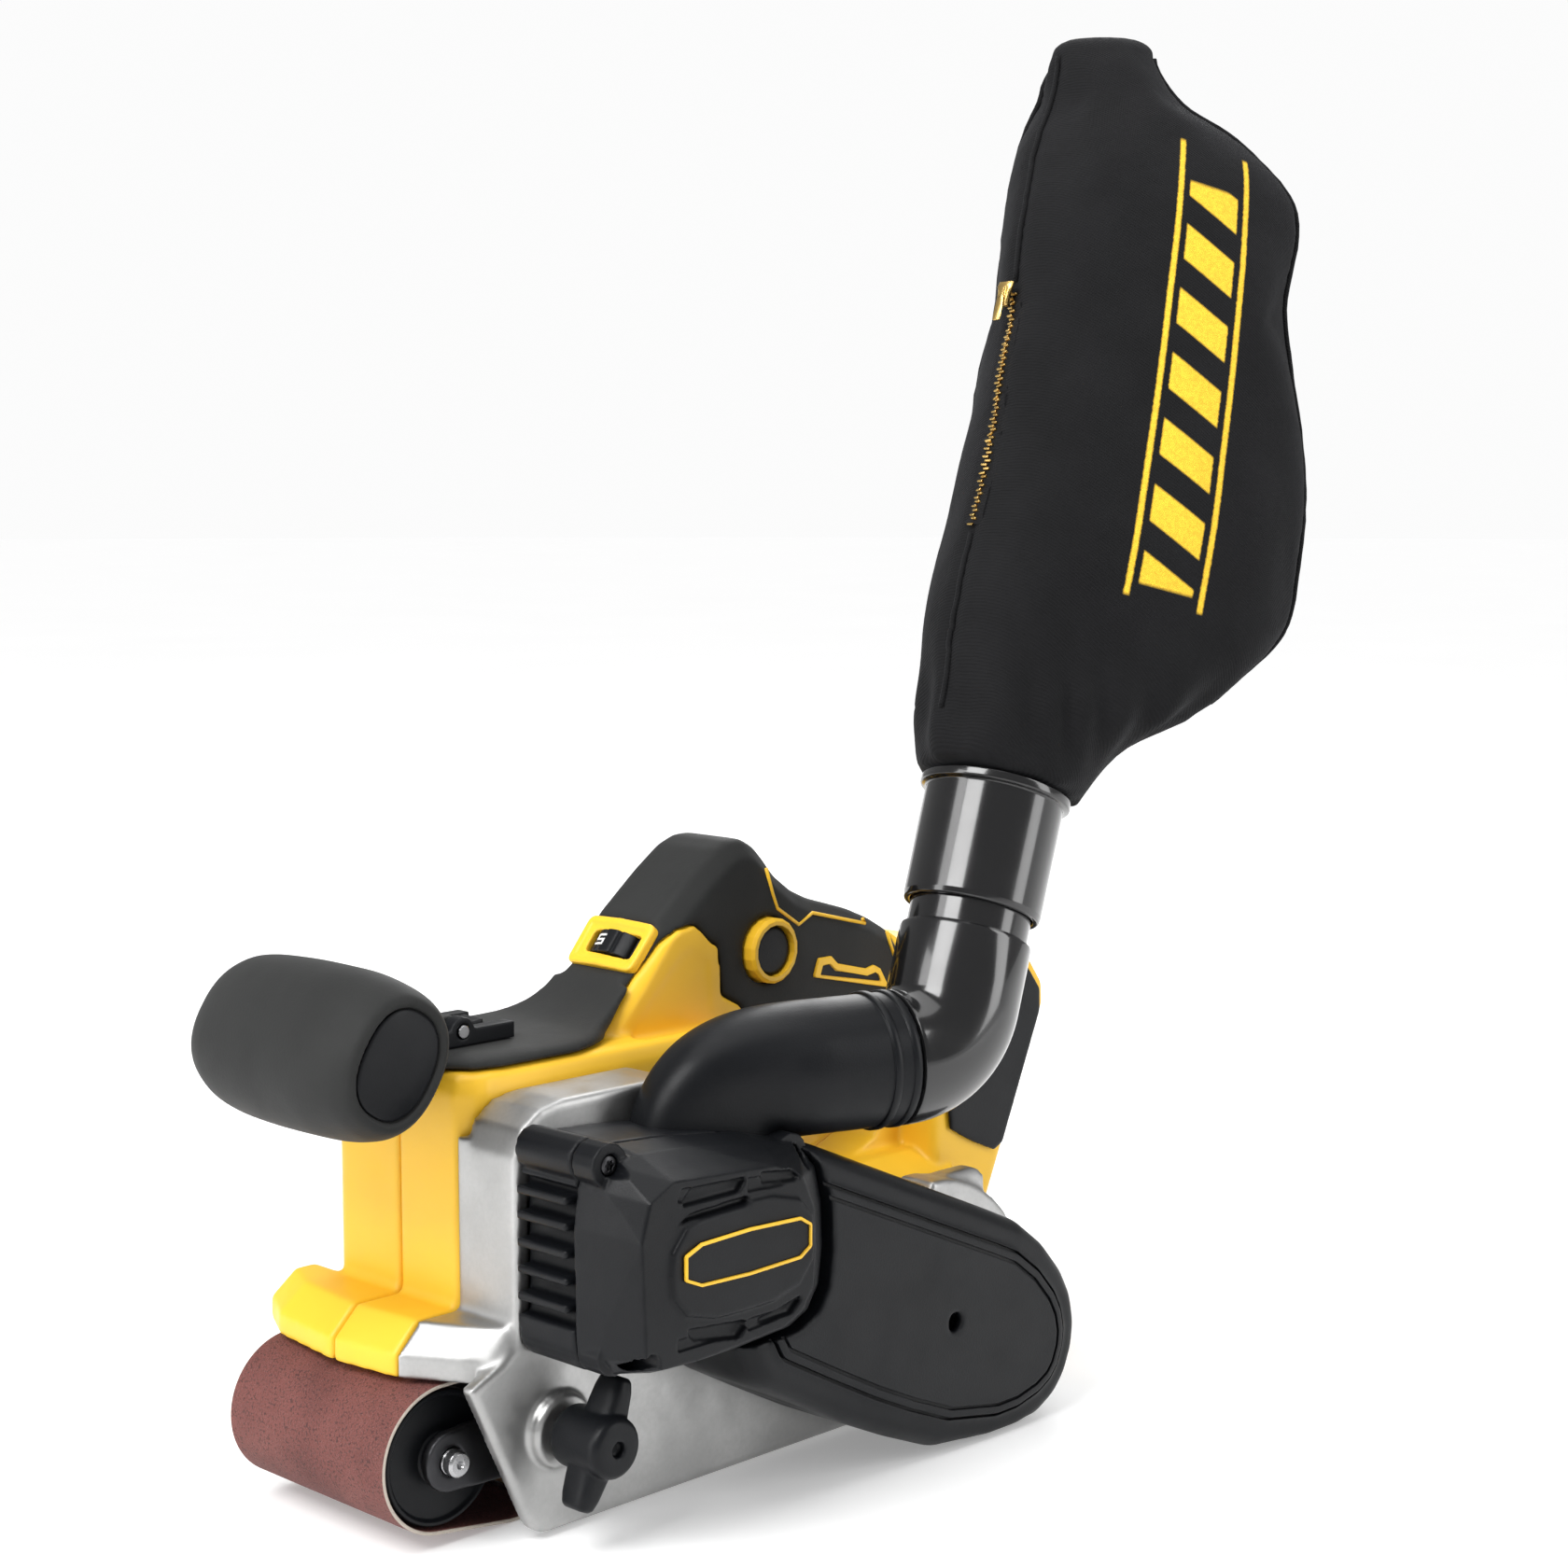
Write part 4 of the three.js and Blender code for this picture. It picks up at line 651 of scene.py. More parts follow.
# Saddle in front of the handle: (x, low z, high z, half width).
SADDLE = [(-42, 137.3, 141.2, 27), (-35.8, 137.3, 141.4, 26.5), (-26.6, 137.5, 142.4, 24.6),
          (-17.7, 138.6, 145.5, 21), (-11, 144.6, 149.4, 18.9), (-6.2, 149.4, 153.4, 18.1)]
# Slots in the right housing: bottom z of each.
SLOT_LEVELS = (76, 85, 94, 103)


def saddled(form):
    """The overmould with its front corners cut and the saddle joined on."""
    subtract(form, [loft("corner", [[vec(x, side * y, z) for x, y in CORNER_PLAN]
                                    for z in (136, 149)]) for side in (-1, 1)])
    rings = [oval((x, 0, (low + high) / 2), YA, Z, half, (high - low) / 2, power=5)
             for x, low, high, half in catmull(SADDLE, 6)]
    return join([form, loft("saddle", rings)], form.name)


def slot_cutter(z):
    corners = [(-90, z - 0.3), (-72, z - 0.3), (-72, z + 3.7), (-90, z + 3.7)]
    return slab("slot", round_poly(corners, 1.2, 3), [(33.8, 0), (41, 0)])


for node, (body, slot, size, steps, keep) in MOULDED.items():
    form = copy_node(node, node + "_form")
    if node == "housing_left":
        subtract(form, [slab("panel", round_poly(ARM_PANEL, 2.5, 4), [(-18.7, -0.6), (-26, 0.9)])])
    if node == "handle_overmould":
        form = saddled(form)
    voxel(form, size, steps, keep)
    if node == "housing_right":
        subtract(form, [slot_cutter(z) for z in SLOT_LEVELS])
        smooth_shade(form, 40)
    place(form, body, slot, node)

# ---------------------------------------------------------------- motor cap and its badge

# Recesses in the cap's face: (x, z).
CAP_CUTS = [
    [(-66.1, 108.3), (-60.8, 112.8), (-39.5, 112.2), (-43.2, 107.9), (-64.8, 107.7)],
    [(-70.1, 101.5), (-63.1, 103.4), (-40.9, 104.1), (-38.6, 105.4), (-40.9, 106.5), (-63, 105.4)],
    [(-36, 112.6), (-20.0, 110.6), (-17.6, 107.6), (-20, 107.0), (-33.6, 108.2), (-32.8, 110.0)],
    [(-65.4, 72.4), (-58.8, 71.5), (-41, 69.9), (-39.2, 68.2), (-43.3, 64.7), (-60.6, 67.3)],
    [(-35, 68.4), (-18.0, 72.2), (-17.2, 71.0), (-21.5, 67.2), (-34.4, 66.9)],
]
cap = copy_node("motor_cap", "motor_cap_form")
subtract(cap, [slab("cut", round_poly(cut, 1.2, 3), [(-108, 0.6), (-102.6, -0.4)])
               for cut in CAP_CUTS])
place(voxel(cap, 0.5, 5, 0.4), "frame", "black_plastic", "motor_cap")

# Badge outline: (x, z).
BADGE = round_poly([(-67, 87), (-60.5, 84.2), (-41, 83.6), (-20, 84.2), (-15.4, 87), (-15.4, 94),
                    (-20, 96.8), (-41, 97.6), (-60.5, 97), (-67, 94.4)], 1.2, 4)
rim = slab("cap_badge_rim", BADGE, [(-106.7, 0), (-107.3, 0), (-107.5, -0.25)])
subtract(rim, [slab("hole", BADGE, [(-106.0, -0.9), (-108, -0.9)])])
place(smooth_shade(rim, 40), "frame", "yellow_housing", "cap_badge")
field = slab("cap_badge_field", BADGE, [(-106.5, -0.85), (-106.85, -0.95)])
place(smooth_shade(field, 40), "frame", "black_plastic")

# ---------------------------------------------------------------- dust spout, elbow, collar

OUT_AXIS = norm((0.951, -0.309, 0))  # the spout's way out
OUT_SIDE = norm((-0.309, -0.951, 0))
UP = norm((0.3983, 0.0871, 0.9131))  # the elbow's upper leg
SPOUT_END = vec(42.7, -85.7, 131.7)
CORNER = SPOUT_END + 18.4 * OUT_AXIS  # where the elbow's two axes meet


def spout_at(distance):
    return SPOUT_END + OUT_AXIS * distance


# Rows: centre, the ring's turn from level in degrees, half sizes, squareness. It leaves the
# motor housing's top and turns back to lie level.
SPOUT = [
    (-25, -68.3, 108, 8, 22.5, 11.5, 3.4), (-23.5, -68.4, 117, 16, 22, 12.2, 3.1),
    (-20, -68.6, 123.5, 30, 21.4, 13.4, 2.8), (-14.5, -69.2, 128, 46, 21, 15.2, 2.5),
    (-7, -70, 130.2, 62, 20.9, 17.6, 2.3), (1, -71.9, 131.3, 76, 20.9, 19.6, 2.1),
    (*spout_at(-34), 87, 20.9, 20.7, 2), (*spout_at(-22), 90, 20.9, 20.9, 2),
    (*SPOUT_END, 90, 21, 21, 2),
]
rings = []
for x, y, z, degrees, half_a, half_b, power in catmull(SPOUT, 8):
    turn = math.radians(degrees)
    long_axis = OUT_AXIS * math.cos(turn) - Z * math.sin(turn)
    rings.append(oval((x, y, z), long_axis, OUT_SIDE, half_a, half_b, 72, max(power, 2.0)))
spout = voxel(loft("dust_spout_form", rings), 0.8, 6, 0.4)
# Raised rings: distance from the spout's end, spout radius, ring radius.
for distance, inner, outer in ((-9, 21.0, 21.75), (-2.2, 21.0, 21.6)):
    profile = [(inner - 1.5, -1.3), (outer - 0.3, -1.3), (outer, -0.9), (outer, 0.9),
               (outer - 0.3, 1.3), (inner - 1.5, 1.3)]
    ring = lathe("spout_ring", spout_at(distance), OUT_AXIS, profile, closed=True)
    spout = join([spout, ring], "dust_spout_form")
place(smooth_shade(spout, 50), "frame", "black_plastic", "dust_spout")

ELBOW_RADIUS, BEND_RADIUS = 21.4, 24
BEND_IN = norm(UP - np.dot(UP, OUT_AXIS) * OUT_AXIS)
BEND_SIDE = norm(np.cross(OUT_AXIS, UP))
BEND = math.acos(float(np.dot(UP, OUT_AXIS)))
RUN = BEND_RADIUS * math.tan(BEND / 2)  # from the corner to the bend's ends
BEND_CENTRE = CORNER - RUN * OUT_AXIS + BEND_RADIUS * BEND_IN


def bend_outward(turn):
    return -BEND_IN * math.cos(turn) + OUT_AXIS * math.sin(turn)


def elbow_ring(centre, outward, radius=ELBOW_RADIUS):
    return oval(centre, outward, BEND_SIDE, radius, radius, 96)


start = SPOUT_END + 0.25 * OUT_AXIS
rings = [elbow_ring(start + OUT_AXIS * along, -BEND_IN, radius)
         for radius, along in ((18.5, 0.0), (20.7, 0.0), (21.3, 0.5), (ELBOW_RADIUS, 1.2))]
for i in range(25):
    outward = bend_outward(BEND * i / 24)
    rings.append(elbow_ring(BEND_CENTRE + outward * BEND_RADIUS, outward))
# Upper leg and its stepped end: (radius, distance from the corner).
for radius, along in ((ELBOW_RADIUS, RUN + 6), (ELBOW_RADIUS, 37.2), (21.1, 38.2), (20.4, 38.6),
                      (19.6, 39.0), (19.6, 50)):
    rings.append(elbow_ring(CORNER + UP * along, bend_outward(BEND), radius))
elbow = smooth_shade(loft("dust_elbow_form", rings), 40)
place(elbow, "dust_elbow", "gloss_black_plastic", "dust_elbow")

COLLAR_START = 46.6  # from the corner, along UP
COLLAR = [(20, 0), (22, 0), (22.4, 2), (22.6, 38), (24.6, 38.4), (24.6, 41.4), (21.6, 41.4),
          (20.6, 38), (20, 5)]  # (radius, along)
collar = lathe("bag_collar_form", CORNER + UP * COLLAR_START, UP, round_poly(COLLAR, 0.7, 4),
               closed=True)
place(smooth_shade(collar, 45), "dust_bag", "gloss_black_plastic", "bag_collar")

# ---------------------------------------------------------------- front knob

KNOB_X, KNOB_Y, KNOB_Z = -118, -4, 147.5
KNOB_POWER = 2.35
# (y from the knob's middle, half sizes of the oval), from left to right.
KNOB = [(-41, 14.2, 17.6), (-40.2, 15.9, 19.2), (-38.6, 17.2, 20.4), (-33, 19.6, 22.6),
        (-16, 22.5, 24.8), (0, 22.8, 25.0), (14, 22.5, 24.6), (25, 21.4, 23.4), (31.5, 19.6, 21.2),
        (36, 17.2, 18.9), (38.6, 15.0, 17.0), (40.2, 13.3, 15.6)]
KNOB_LEFT_SEAT = [(-38.4, 13.3, 16.7), (-40.9, 13.4, 16.8)]
KNOB_RIGHT_SEAT = [(40.1, 12.6, 15.0), (38.4, 12.5, 14.9)]
# End caps, in the same columns but measured outwards.
KNOB_CAP = [(38.6, 12.7, 16.1), (39.6, 12.7, 16.1), (39.95, 12.4, 15.8), (40.1, 11.8, 15.2),
            (40.3, 7, 9.6), (40.4, 2.5, 3.6)]


def knob_ring(y, half_a, half_b, count):
    """The lean of the knob's oval at y, with the sizes and count passed on; it leans further over
    towards the ends.
    """
    t = min(1.0, max(0.0, (abs(y) - 12) / 24))
    lean = math.radians(19.9 + 13 * t * t * (3 - 2 * t))
    cosine, sine = math.cos(lean), math.sin(lean)
    return cosine, sine, half_a, half_b, count


def knob_axes(y):
    """The knob's oval leans further over towards its ends."""
    t = min(1.0, max(0.0, (abs(y) - 12) / 24))
    lean = math.radians(19.9 + 13 * t * t * (3 - 2 * t))
    return vec(math.cos(lean), 0, -math.sin(lean)), vec(math.sin(lean), 0, math.cos(lean))


del knob_ring
rows = KNOB_LEFT_SEAT + smooth_rows(KNOB, 60) + KNOB_RIGHT_SEAT
knob = loft("knob", [oval((KNOB_X, KNOB_Y + y, KNOB_Z), *knob_axes(y), half_a, half_b, 96,
                          KNOB_POWER) for y, half_a, half_b in rows])
# Only the part of the node behind the grip is kept, as the arm.
arm = copy_node("front_knob", "arm")
grip_box = [(-170, 100), (-98, 100), (-98, 200), (-170, 200)]
subtract(arm, [slab("box", grip_box, [(-80, 0), (80, 0)])])
knob = voxel(join([knob, arm], "front_knob_form"), 0.75, 7, 0.45)
place(knob, "front_knob", "soft_grip", "front_knob")
for node, side, inset, scale in (("knob_cap_left", -1, 0, 1.0), ("knob_cap_right", 1, 0.6, 0.93)):
    end_cap = loft(node + "_form", [
        oval((KNOB_X, KNOB_Y + side * (y - inset), KNOB_Z), *knob_axes(y), half_a * scale,
             half_b * scale, 72, KNOB_POWER) for y, half_a, half_b in KNOB_CAP])
    place(smooth_shade(end_cap, 40), "front_knob", "black_plastic", node)

# ---------------------------------------------------------------- belt, rollers, axle

ROLLER_X, ROLLER_Z = 99, 26.3
BELT_RADIUS, BELT_THICK = 22.6, 1.1
FLAT_X = 74  # half length of the flat sole
LEAVE = math.radians(262.1)  # where the belt leaves the front roller
QUARTER = math.radians(90)
# Belt section: (share of the way from inner to outer face, y).
BELT_SECTION = [(0, -37.75), (0.3, -38), (0.7, -38), (1, -37.8), (1, -19), (1, 0), (1, 19),
                (1, 37.8), (0.7, 38), (0.3, 38), (0, 37.75), (0, 0)]

# Points (x, z) of the outer face with their outward normals.
path = []
for i in range(61):
    turn = QUARTER + (LEAVE - QUARTER) * i / 60
    outward = vec(math.cos(turn), math.sin(turn))
    path.append((vec(-ROLLER_X, ROLLER_Z) + BELT_RADIUS * outward, outward))
leaving = path[-1][0]
for i in range(1, 9):
    path.append((leaving * (1 - i / 9) + vec(-FLAT_X, 0) * (i / 9), norm((-0.13, -1))))
front_end = list(path)
path += [(vec(-FLAT_X + 2 * FLAT_X / 40 * i, 0), vec(0, -1)) for i in range(41)]
path += [(vec(-p[0], p[1]), vec(-n[0], n[1])) for p, n in reversed(front_end)]
path += [(vec(ROLLER_X - 2 * ROLLER_X * i / 30, ROLLER_Z + BELT_RADIUS), vec(0, 1))
         for i in range(1, 30)]
rings = []
for outer, outward in path:
    inner = outer - outward * BELT_THICK
    section = [(inner * (1 - share) + outer * share, y) for share, y in BELT_SECTION]
    rings.append([vec(p[0], y, p[1]) for p, y in section])
belt = smooth_shade(loft("sanding_belt_form", rings, closed=True), 50)
place(belt, "frame", "abrasive", "sanding_belt")

# Left end of both rollers: (radius, y). The right end mirrors it.
ROLLER_END = [(0.01, -36.2), (7.0, -36.2), (7.5, -35.9), (7.9, -35.5), (18.2, -35.5),
              (18.6, -35.8), (18.9, -36.5), (19.2, -36.8), (20.0, -36.8), (20.4, -36.4),
              (20.5, -35.6)]
profile = (ROLLER_END + [(20.5, y) for y in (-20, 0, 20)]
           + [(radius, -y) for radius, y in reversed(ROLLER_END)])
for node, x, slot in (("front_roller", -ROLLER_X, "black_plastic"),
                      ("rear_roller", ROLLER_X, "belt_rubber")):
    roller = lathe(node + "_form", (x, 0, ROLLER_Z), YA, profile)
    place(smooth_shade(roller, 35), node, slot, node)

# The axle has a centre hole in each end and a groove near its left end.
x, z, radius, left, right = node_span("front_axle")
profile = [(0.01, left + 1.6), (0.9, left + 0.7), (1.3, left), (radius - 0.7, left),
           (radius, left + 0.7), (radius, left + 3), (radius - 0.25, left + 3.2),
           (radius - 0.25, left + 3.9), (radius, left + 4.1), (radius, right - 0.7),
           (radius - 0.7, right), (1.3, right), (0.9, right - 0.7), (0.01, right - 1.6)]
axle = lathe("front_axle_form", (x, 0, z), YA, profile, 64)
place(smooth_shade(axle, 35), "tracking_fork", "steel", "front_axle")

# ---------------------------------------------------------------- speed dial and its bezel

SLOPE, SLOPE_WAY, SLOPE_NORMAL = vec(2.3, 0, 163), norm((0.635, 0, 0.772)), norm((-0.772, 0, 0.635))
CROWN = 0.0052  # drop of the face per squared mm across the handle


def on_slope(name, outline, levels):
    """Outline in (along the slope, across), lofted through (height, offset) levels."""
    return loft(name, [[SLOPE + SLOPE_WAY * p[0] + YA * p[1]
                        + SLOPE_NORMAL * (height - CROWN * p[1] ** 2)
                        for p in offset_poly(outline, offset)] for height, offset in levels])


corners = round_poly([(-9.2, -15.2), (8.8, -15.8), (8.8, 15.6), (-9.2, 15.6)], 3.2, 6)
# Every side gets a middle point.
bezel_line = [q for a, b in zip(corners, corners[1:] + corners[:1]) for q in (a, (a + b) / 2)]
window = round_poly([(-5.0, -12.2), (4.0, -12.6), (4.0, 9.6), (-4.4, 9.6)], 2.0, 5)
bezel = on_slope("dial_bezel_form", bezel_line, [(-1.6, 0), (1.1, 0), (1.5, -0.3), (1.6, -0.9)])
dish = on_slope("dish", offset_poly(bezel_line, -2.1), [(0.95, -1.2), (1.8, 0.2), (4, 0.6)])
subtract(bezel, [dish, on_slope("hole", window, [(-4, 0), (6, 0)])])
place(voxel(bezel, 0.35, 4, 0.5), "frame", "yellow_housing", "dial_bezel")

DIAL = vec(10.946, 0, 155.888)
DIAL_RADIUS = 13.2
NOTCHES, NOTCH_DEPTH = 12, 0.75


def dial_point(along, turn, radius):
    return (DIAL + SLOPE_WAY * along
            + (SLOPE_NORMAL * math.cos(turn) + YA * math.sin(turn)) * radius)


rings = []
for along in (-4.2, -3.9, 3.9, 4.2):
    edge = 0.35 if abs(along) > 4 else 0
    ring = []
    for i in range(240):
        dip = NOTCH_DEPTH * math.exp(-(((i / 240 * NOTCHES % 1) - 0.5) / 0.10) ** 2)
        ring.append(dial_point(along, 2 * math.pi * i / 240, DIAL_RADIUS - dip - edge))
    rings.append(ring)
dial = smooth_shade(loft("speed_dial_form", rings), 40)
place(dial, "speed_dial", "black_plastic", "speed_dial")

# Strokes of the figure on the dial: along from and to, across from and to, before scaling.
FIGURE = [(1.1, 1.7, -1.9, 1.9), (-0.3, 0.3, -1.9, 1.9), (-1.7, -1.1, -1.9, 1.9),
          (0.0, 1.4, 1.2, 1.9), (-1.4, 0.0, -1.9, -1.2)]
FIGURE_SCALE, FIGURE_SHIFT = 1.2, 3.6
strokes = []
for a0, a1, b0, b1 in FIGURE:
    middle = (b0 + b1) / 2
    corners = ((a0, b0), (a1, b0), (a1, middle), (a1, b1), (a0, b1), (a0, middle))
    strokes.append(loft("stroke", [
        [dial_point(a * FIGURE_SCALE, (FIGURE_SHIFT + FIGURE_SCALE * b) / DIAL_RADIUS, radius)
         for a, b in corners] for radius in (12.9, 13.4)]))
figure = smooth_shade(join(strokes, "dial_figure"), 30)
place(figure, "speed_dial", "black_plastic", mat="white_mark")

# ---------------------------------------------------------------- handle trim, on the left side

# Trim lines and badge outlines: (x, z).
TRIM_LINES = [[(54.5, 183.9), (57.5, 175.2), (59.8, 169.9), (70, 163.3), (76.7, 166.5),
               (102.8, 159.9), (101.6, 161.8)], [(114.1, 155.8), (117.7, 146.8)]]
BLADE = [(76.7, 144.5), (79.2, 150.7), (85.3, 150.7), (88.4, 147.8), (102.9, 144.2),
         (106.7, 145), (110, 143.3), (114.5, 136.1)]
POCKET = [(79.6, 144.7), (80.9, 148.2), (84.6, 148.2), (87.6, 145.6), (103.0, 141.7),
          (107.3, 142.4), (108.9, 141.4), (110.6, 138.6)]
BLADE_FIELD = [(79.8, 144.9), (81.0, 148.0), (84.5, 148.0), (87.5, 145.4), (103.0, 141.9),
               (107.2, 142.6), (108.8, 141.6), (110.4, 138.8)]
trim = [tube("trim", [vec(x, -18.95, z) for x, z in line], 0.62, 10) for line in TRIM_LINES]
place(smooth_shade(join(trim, "handle_trim_line")), "frame", "yellow_housing")
plate = slab("handle_badge_form", round_poly(BLADE, 0.8, 3),
             [(-18.6, 0), (-19.7, 0), (-19.95, -0.25)])
subtract(plate, [slab("pocket", round_poly(POCKET, 0.6, 3), [(-19.45, 0), (-21, 0)])])
place(smooth_shade(plate, 35), "frame", "yellow_housing", "handle_badge")
field = slab("handle_badge_field", round_poly(BLADE_FIELD, 0.6, 3), [(-19.4, 0), (-19.55, -0.1)])
place(smooth_shade(field, 35), "frame", "black_plastic")

# ---------------------------------------------------------------- screws

SCREW_HEAD = 3.0


def screw(node, sink=0.0):
    """A round-headed screw with a six-lobed socket, its head to the left."""
    x, z, radius, head_y, end_y = node_span(node)
    head_y += sink
    length = abs(end_y - head_y)
    profile = [(0.01, 0), (radius * 0.55, 0), (radius * 0.8, 0.12), (radius * 0.94, 0.4),
               (radius, 0.9)]
    if length <= SCREW_HEAD + 0.3:
        profile += [(radius, length), (0.01, length)]
    else:
        profile += [(radius, SCREW_HEAD - 0.05), (radius * 0.55, SCREW_HEAD),
                    (radius * 0.55, length), (0.01, length)]
    obj = lathe(node + "_form", (x, head_y, z), YA, profile, 64)
    lobes = []
    for i in range(72):
        turn = 2 * math.pi * i / 72
        reach = radius * (0.50 + 0.085 * math.cos(6 * turn))
        lobes.append((x + reach * math.cos(turn), z + reach * math.sin(turn)))
    subtract(obj, [slab("socket", lobes, [(head_y - 0.5, 0), (head_y + 1.3, 0)])])
    place(smooth_shade(obj, 35), "frame", "dark_steel", node)


for corner in ("front_top", "front_low", "rear_top", "rear_low"):
    screw("cap_screw_" + corner)
screw("cover_screw", sink=4.2)

# ---------------------------------------------------------------- drive cover

# Outlines: (x, z).
COVER = [(84, 1.6), (96, 1.8), (108, 4.5), (116, 8.5), (121, 14), (124.5, 22), (125.5, 30),
         (123.5, 39), (119, 47), (110, 57), (98, 66), (87, 71), (0, 108.8), (-14, 108), (-24, 98),
         (-28, 80), (-28, 60), (-20, 45), (3, 32.5), (23, 22), (40, 14), (59, 6.2)]
MOTOR = [(-84.6, 64), (-85, 73), (-85.4, 101), (-83.7, 113), (-79, 121), (-70, 123.2), (-50, 122),
         (-20, 118.5), (-4, 114.5), (4, 106), (7, 94), (7.6, 80), (6, 68), (1, 60), (-8, 56),
         (-30, 54.5), (-66, 55), (-80, 58)]
COVER_BOTTOM = 1.5
outline = round_poly(COVER, 14, 6)
shell = slab("shell", outline, [(-55.6, 4.2), (-87.6, 3.8), (-90.2, 3.1), (-92, 2.0), (-93.3, 0.6),
                                (-94, -1.2)])
for vertex in shell.data.vertices:
    vertex.co.z = max(vertex.co.z, COVER_BOTTOM * MM)
panel = slab("panel", offset_poly(outline, -6.4),
             [(-93, 0.8), (-94.9, 0.3), (-95.4, -0.4), (-95.6, -1.4)])
motor_space = slab("motor_space", offset_poly(round_poly(MOTOR, 8, 5), -1.0), [(-50, 0), (-110, 0)])
screw_well = lathe("screw_well", (63.5, -100, 43.9), YA,
                   [(0.01, 0), (3.2, 0), (3.2, 7.4), (4.7, 8.0), (4.7, 12.5), (0.01, 12.5)], 48)
cover = voxel(join([shell, panel], "drive_cover_form"), 0.9, 5)
subtract(cover, [motor_space, screw_well])
voxel(cover, 0.8, 4, 0.35)
# Grooves round the face: offset of the outer side, width, y of the bottom.
for offset, width, bottom in ((-6.0, 1.1, -92.7), (-9.4, 1.2, -94.3)):
    groove = slab("groove", offset_poly(outline, offset), [(bottom, 0), (-99, 0)])
    core = slab("core", offset_poly(outline, offset - width), [(-90, 0), (-100, 0)])
    subtract(cover, [subtract(groove, [core])])
place(smooth_shade(cover, 50), "frame", "black_plastic", "drive_cover")

# ---------------------------------------------------------------- tracking knob

TRACKING, WING = vec(-69.8, 0, 32.4), norm((0.41, 0, 0.912))
WING_SIDE = vec(-WING[2], 0, WING[0])
# Hub: (radius, distance to the left).
HUB = [(0.01, 62), (9.0, 62), (9.4, 62.8), (9.4, 79), (9.0, 80.6), (7.8, 81.8), (5.6, 82.1),
       (2.4, 82.1), (2.3, 79.5), (0.01, 79.5)]
# Wing: (reach from the axis, half thickness, inner and outer distance to the left).
WING_ROWS = [(5, 5.6, 66.5, 79), (11, 4.7, 66.3, 78.6), (16, 3.9, 66.5, 78.2),
             (19, 3.2, 67.2, 77.4), (20, 2.2, 68.2, 76.4)]
parts = [lathe("hub", TRACKING, (0, -1, 0), HUB, 72)]
for side in (-1, 1):
    parts.append(loft("wing", [
        oval(TRACKING + WING * (side * reach) + vec(0, -(near + far) / 2, 0), WING_SIDE, YA,
             half, (far - near) / 2, 40, 3.2) for reach, half, near, far in WING_ROWS]))
tracking_knob = voxel(join(parts, "tracking_knob_form"), 0.45, 6, 0.5)
place(tracking_knob, "tracking_knob", "black_plastic", "tracking_knob")

# ---------------------------------------------------------------- dust bag

BAG_WIDE = vec(0.812, -0.583, 0.0) / math.hypot(0.812, 0.583)  # towards the rear left
BAG_DEEP = vec(0.583, 0.812, 0.0) / math.hypot(0.812, 0.583)  # towards the rear right
# Sections from the neck up: centre, half width, half depth.
BAG = [(95.6, -83.8, 212.4, 27.2, 26.6), (99.6, -84.2, 219.8, 29.2, 27.6),
       (105, -86.3, 228.5, 33.5, 29), (115.4, -93.4, 237.8, 45, 30), (123.4, -98, 249.4, 53, 31),
       (128.8, -99.9, 258.8, 58.5, 32), (133.4, -100.4, 270, 60.5, 34),
       (141.8, -99.2, 297.8, 58.5, 36), (149, -97.3, 323.8, 56.5, 35.5),
       (153.8, -94, 346.8, 53.5, 34), (158.7, -91.3, 368.5, 50, 31),
       (166.8, -88.3, 399.9, 49.5, 27), (167.4, -81.7, 420.3, 40.5, 21),
       (165.2, -73.2, 437.8, 26, 14), (165.9, -68.3, 454.5, 15.5, 8)]
BAG_SWELL = 0.9  # how far the cloth starts outside the sections
ZIP_SEAM = 205.7  # degrees round the section
SEAMS = [(ZIP_SEAM, 90), (334, 90), (25.7, 60), (154, 60)]  # degrees, points


def bag_row(s):
    """Section at fractional index s: centre, half sizes."""
    i = min(int(s), len(BAG) - 2)
    return cubic(BAG, i, s - i)


def bag_point(s, degrees, out=0.0):
    row = bag_row(s)
    # The sections turn from the collar's tilt to level over the first three rows.
    level = min(1.0, s / 3)
    normal = norm(UP * (1 - level) + Z * level)
    u_axis = norm(BAG_WIDE - normal * np.dot(BAG_WIDE, normal))
    v_axis = np.cross(normal, u_axis)
    turn = math.radians(degrees)
    cosine, sine = math.cos(turn), math.sin(turn)
    k = oval_factor(cosine, sine, 2.0 + 0.6 * min(1, s / 2))
    return row[:3] + u_axis * ((row[3] + out) * cosine * k) + v_axis * ((row[4] + out) * sine * k)


rings = []
for j in range(57):
    s = 14 * j / 56
    lift = vec(0, 0, 5.5) * max(0.0, s - 13)
    out = BAG_SWELL if s > 1.5 else BAG_SWELL * 0.5 * s / 1.5
    rings.append([bag_point(s, 360 * k / 72, out) + lift for k in range(72)])
bag = loft("dust_bag_form", rings)
remesh = bag.modifiers.new("remesh", "REMESH")
remesh.mode = "VOXEL"
remesh.voxel_size = 0.0048
settle(bag)


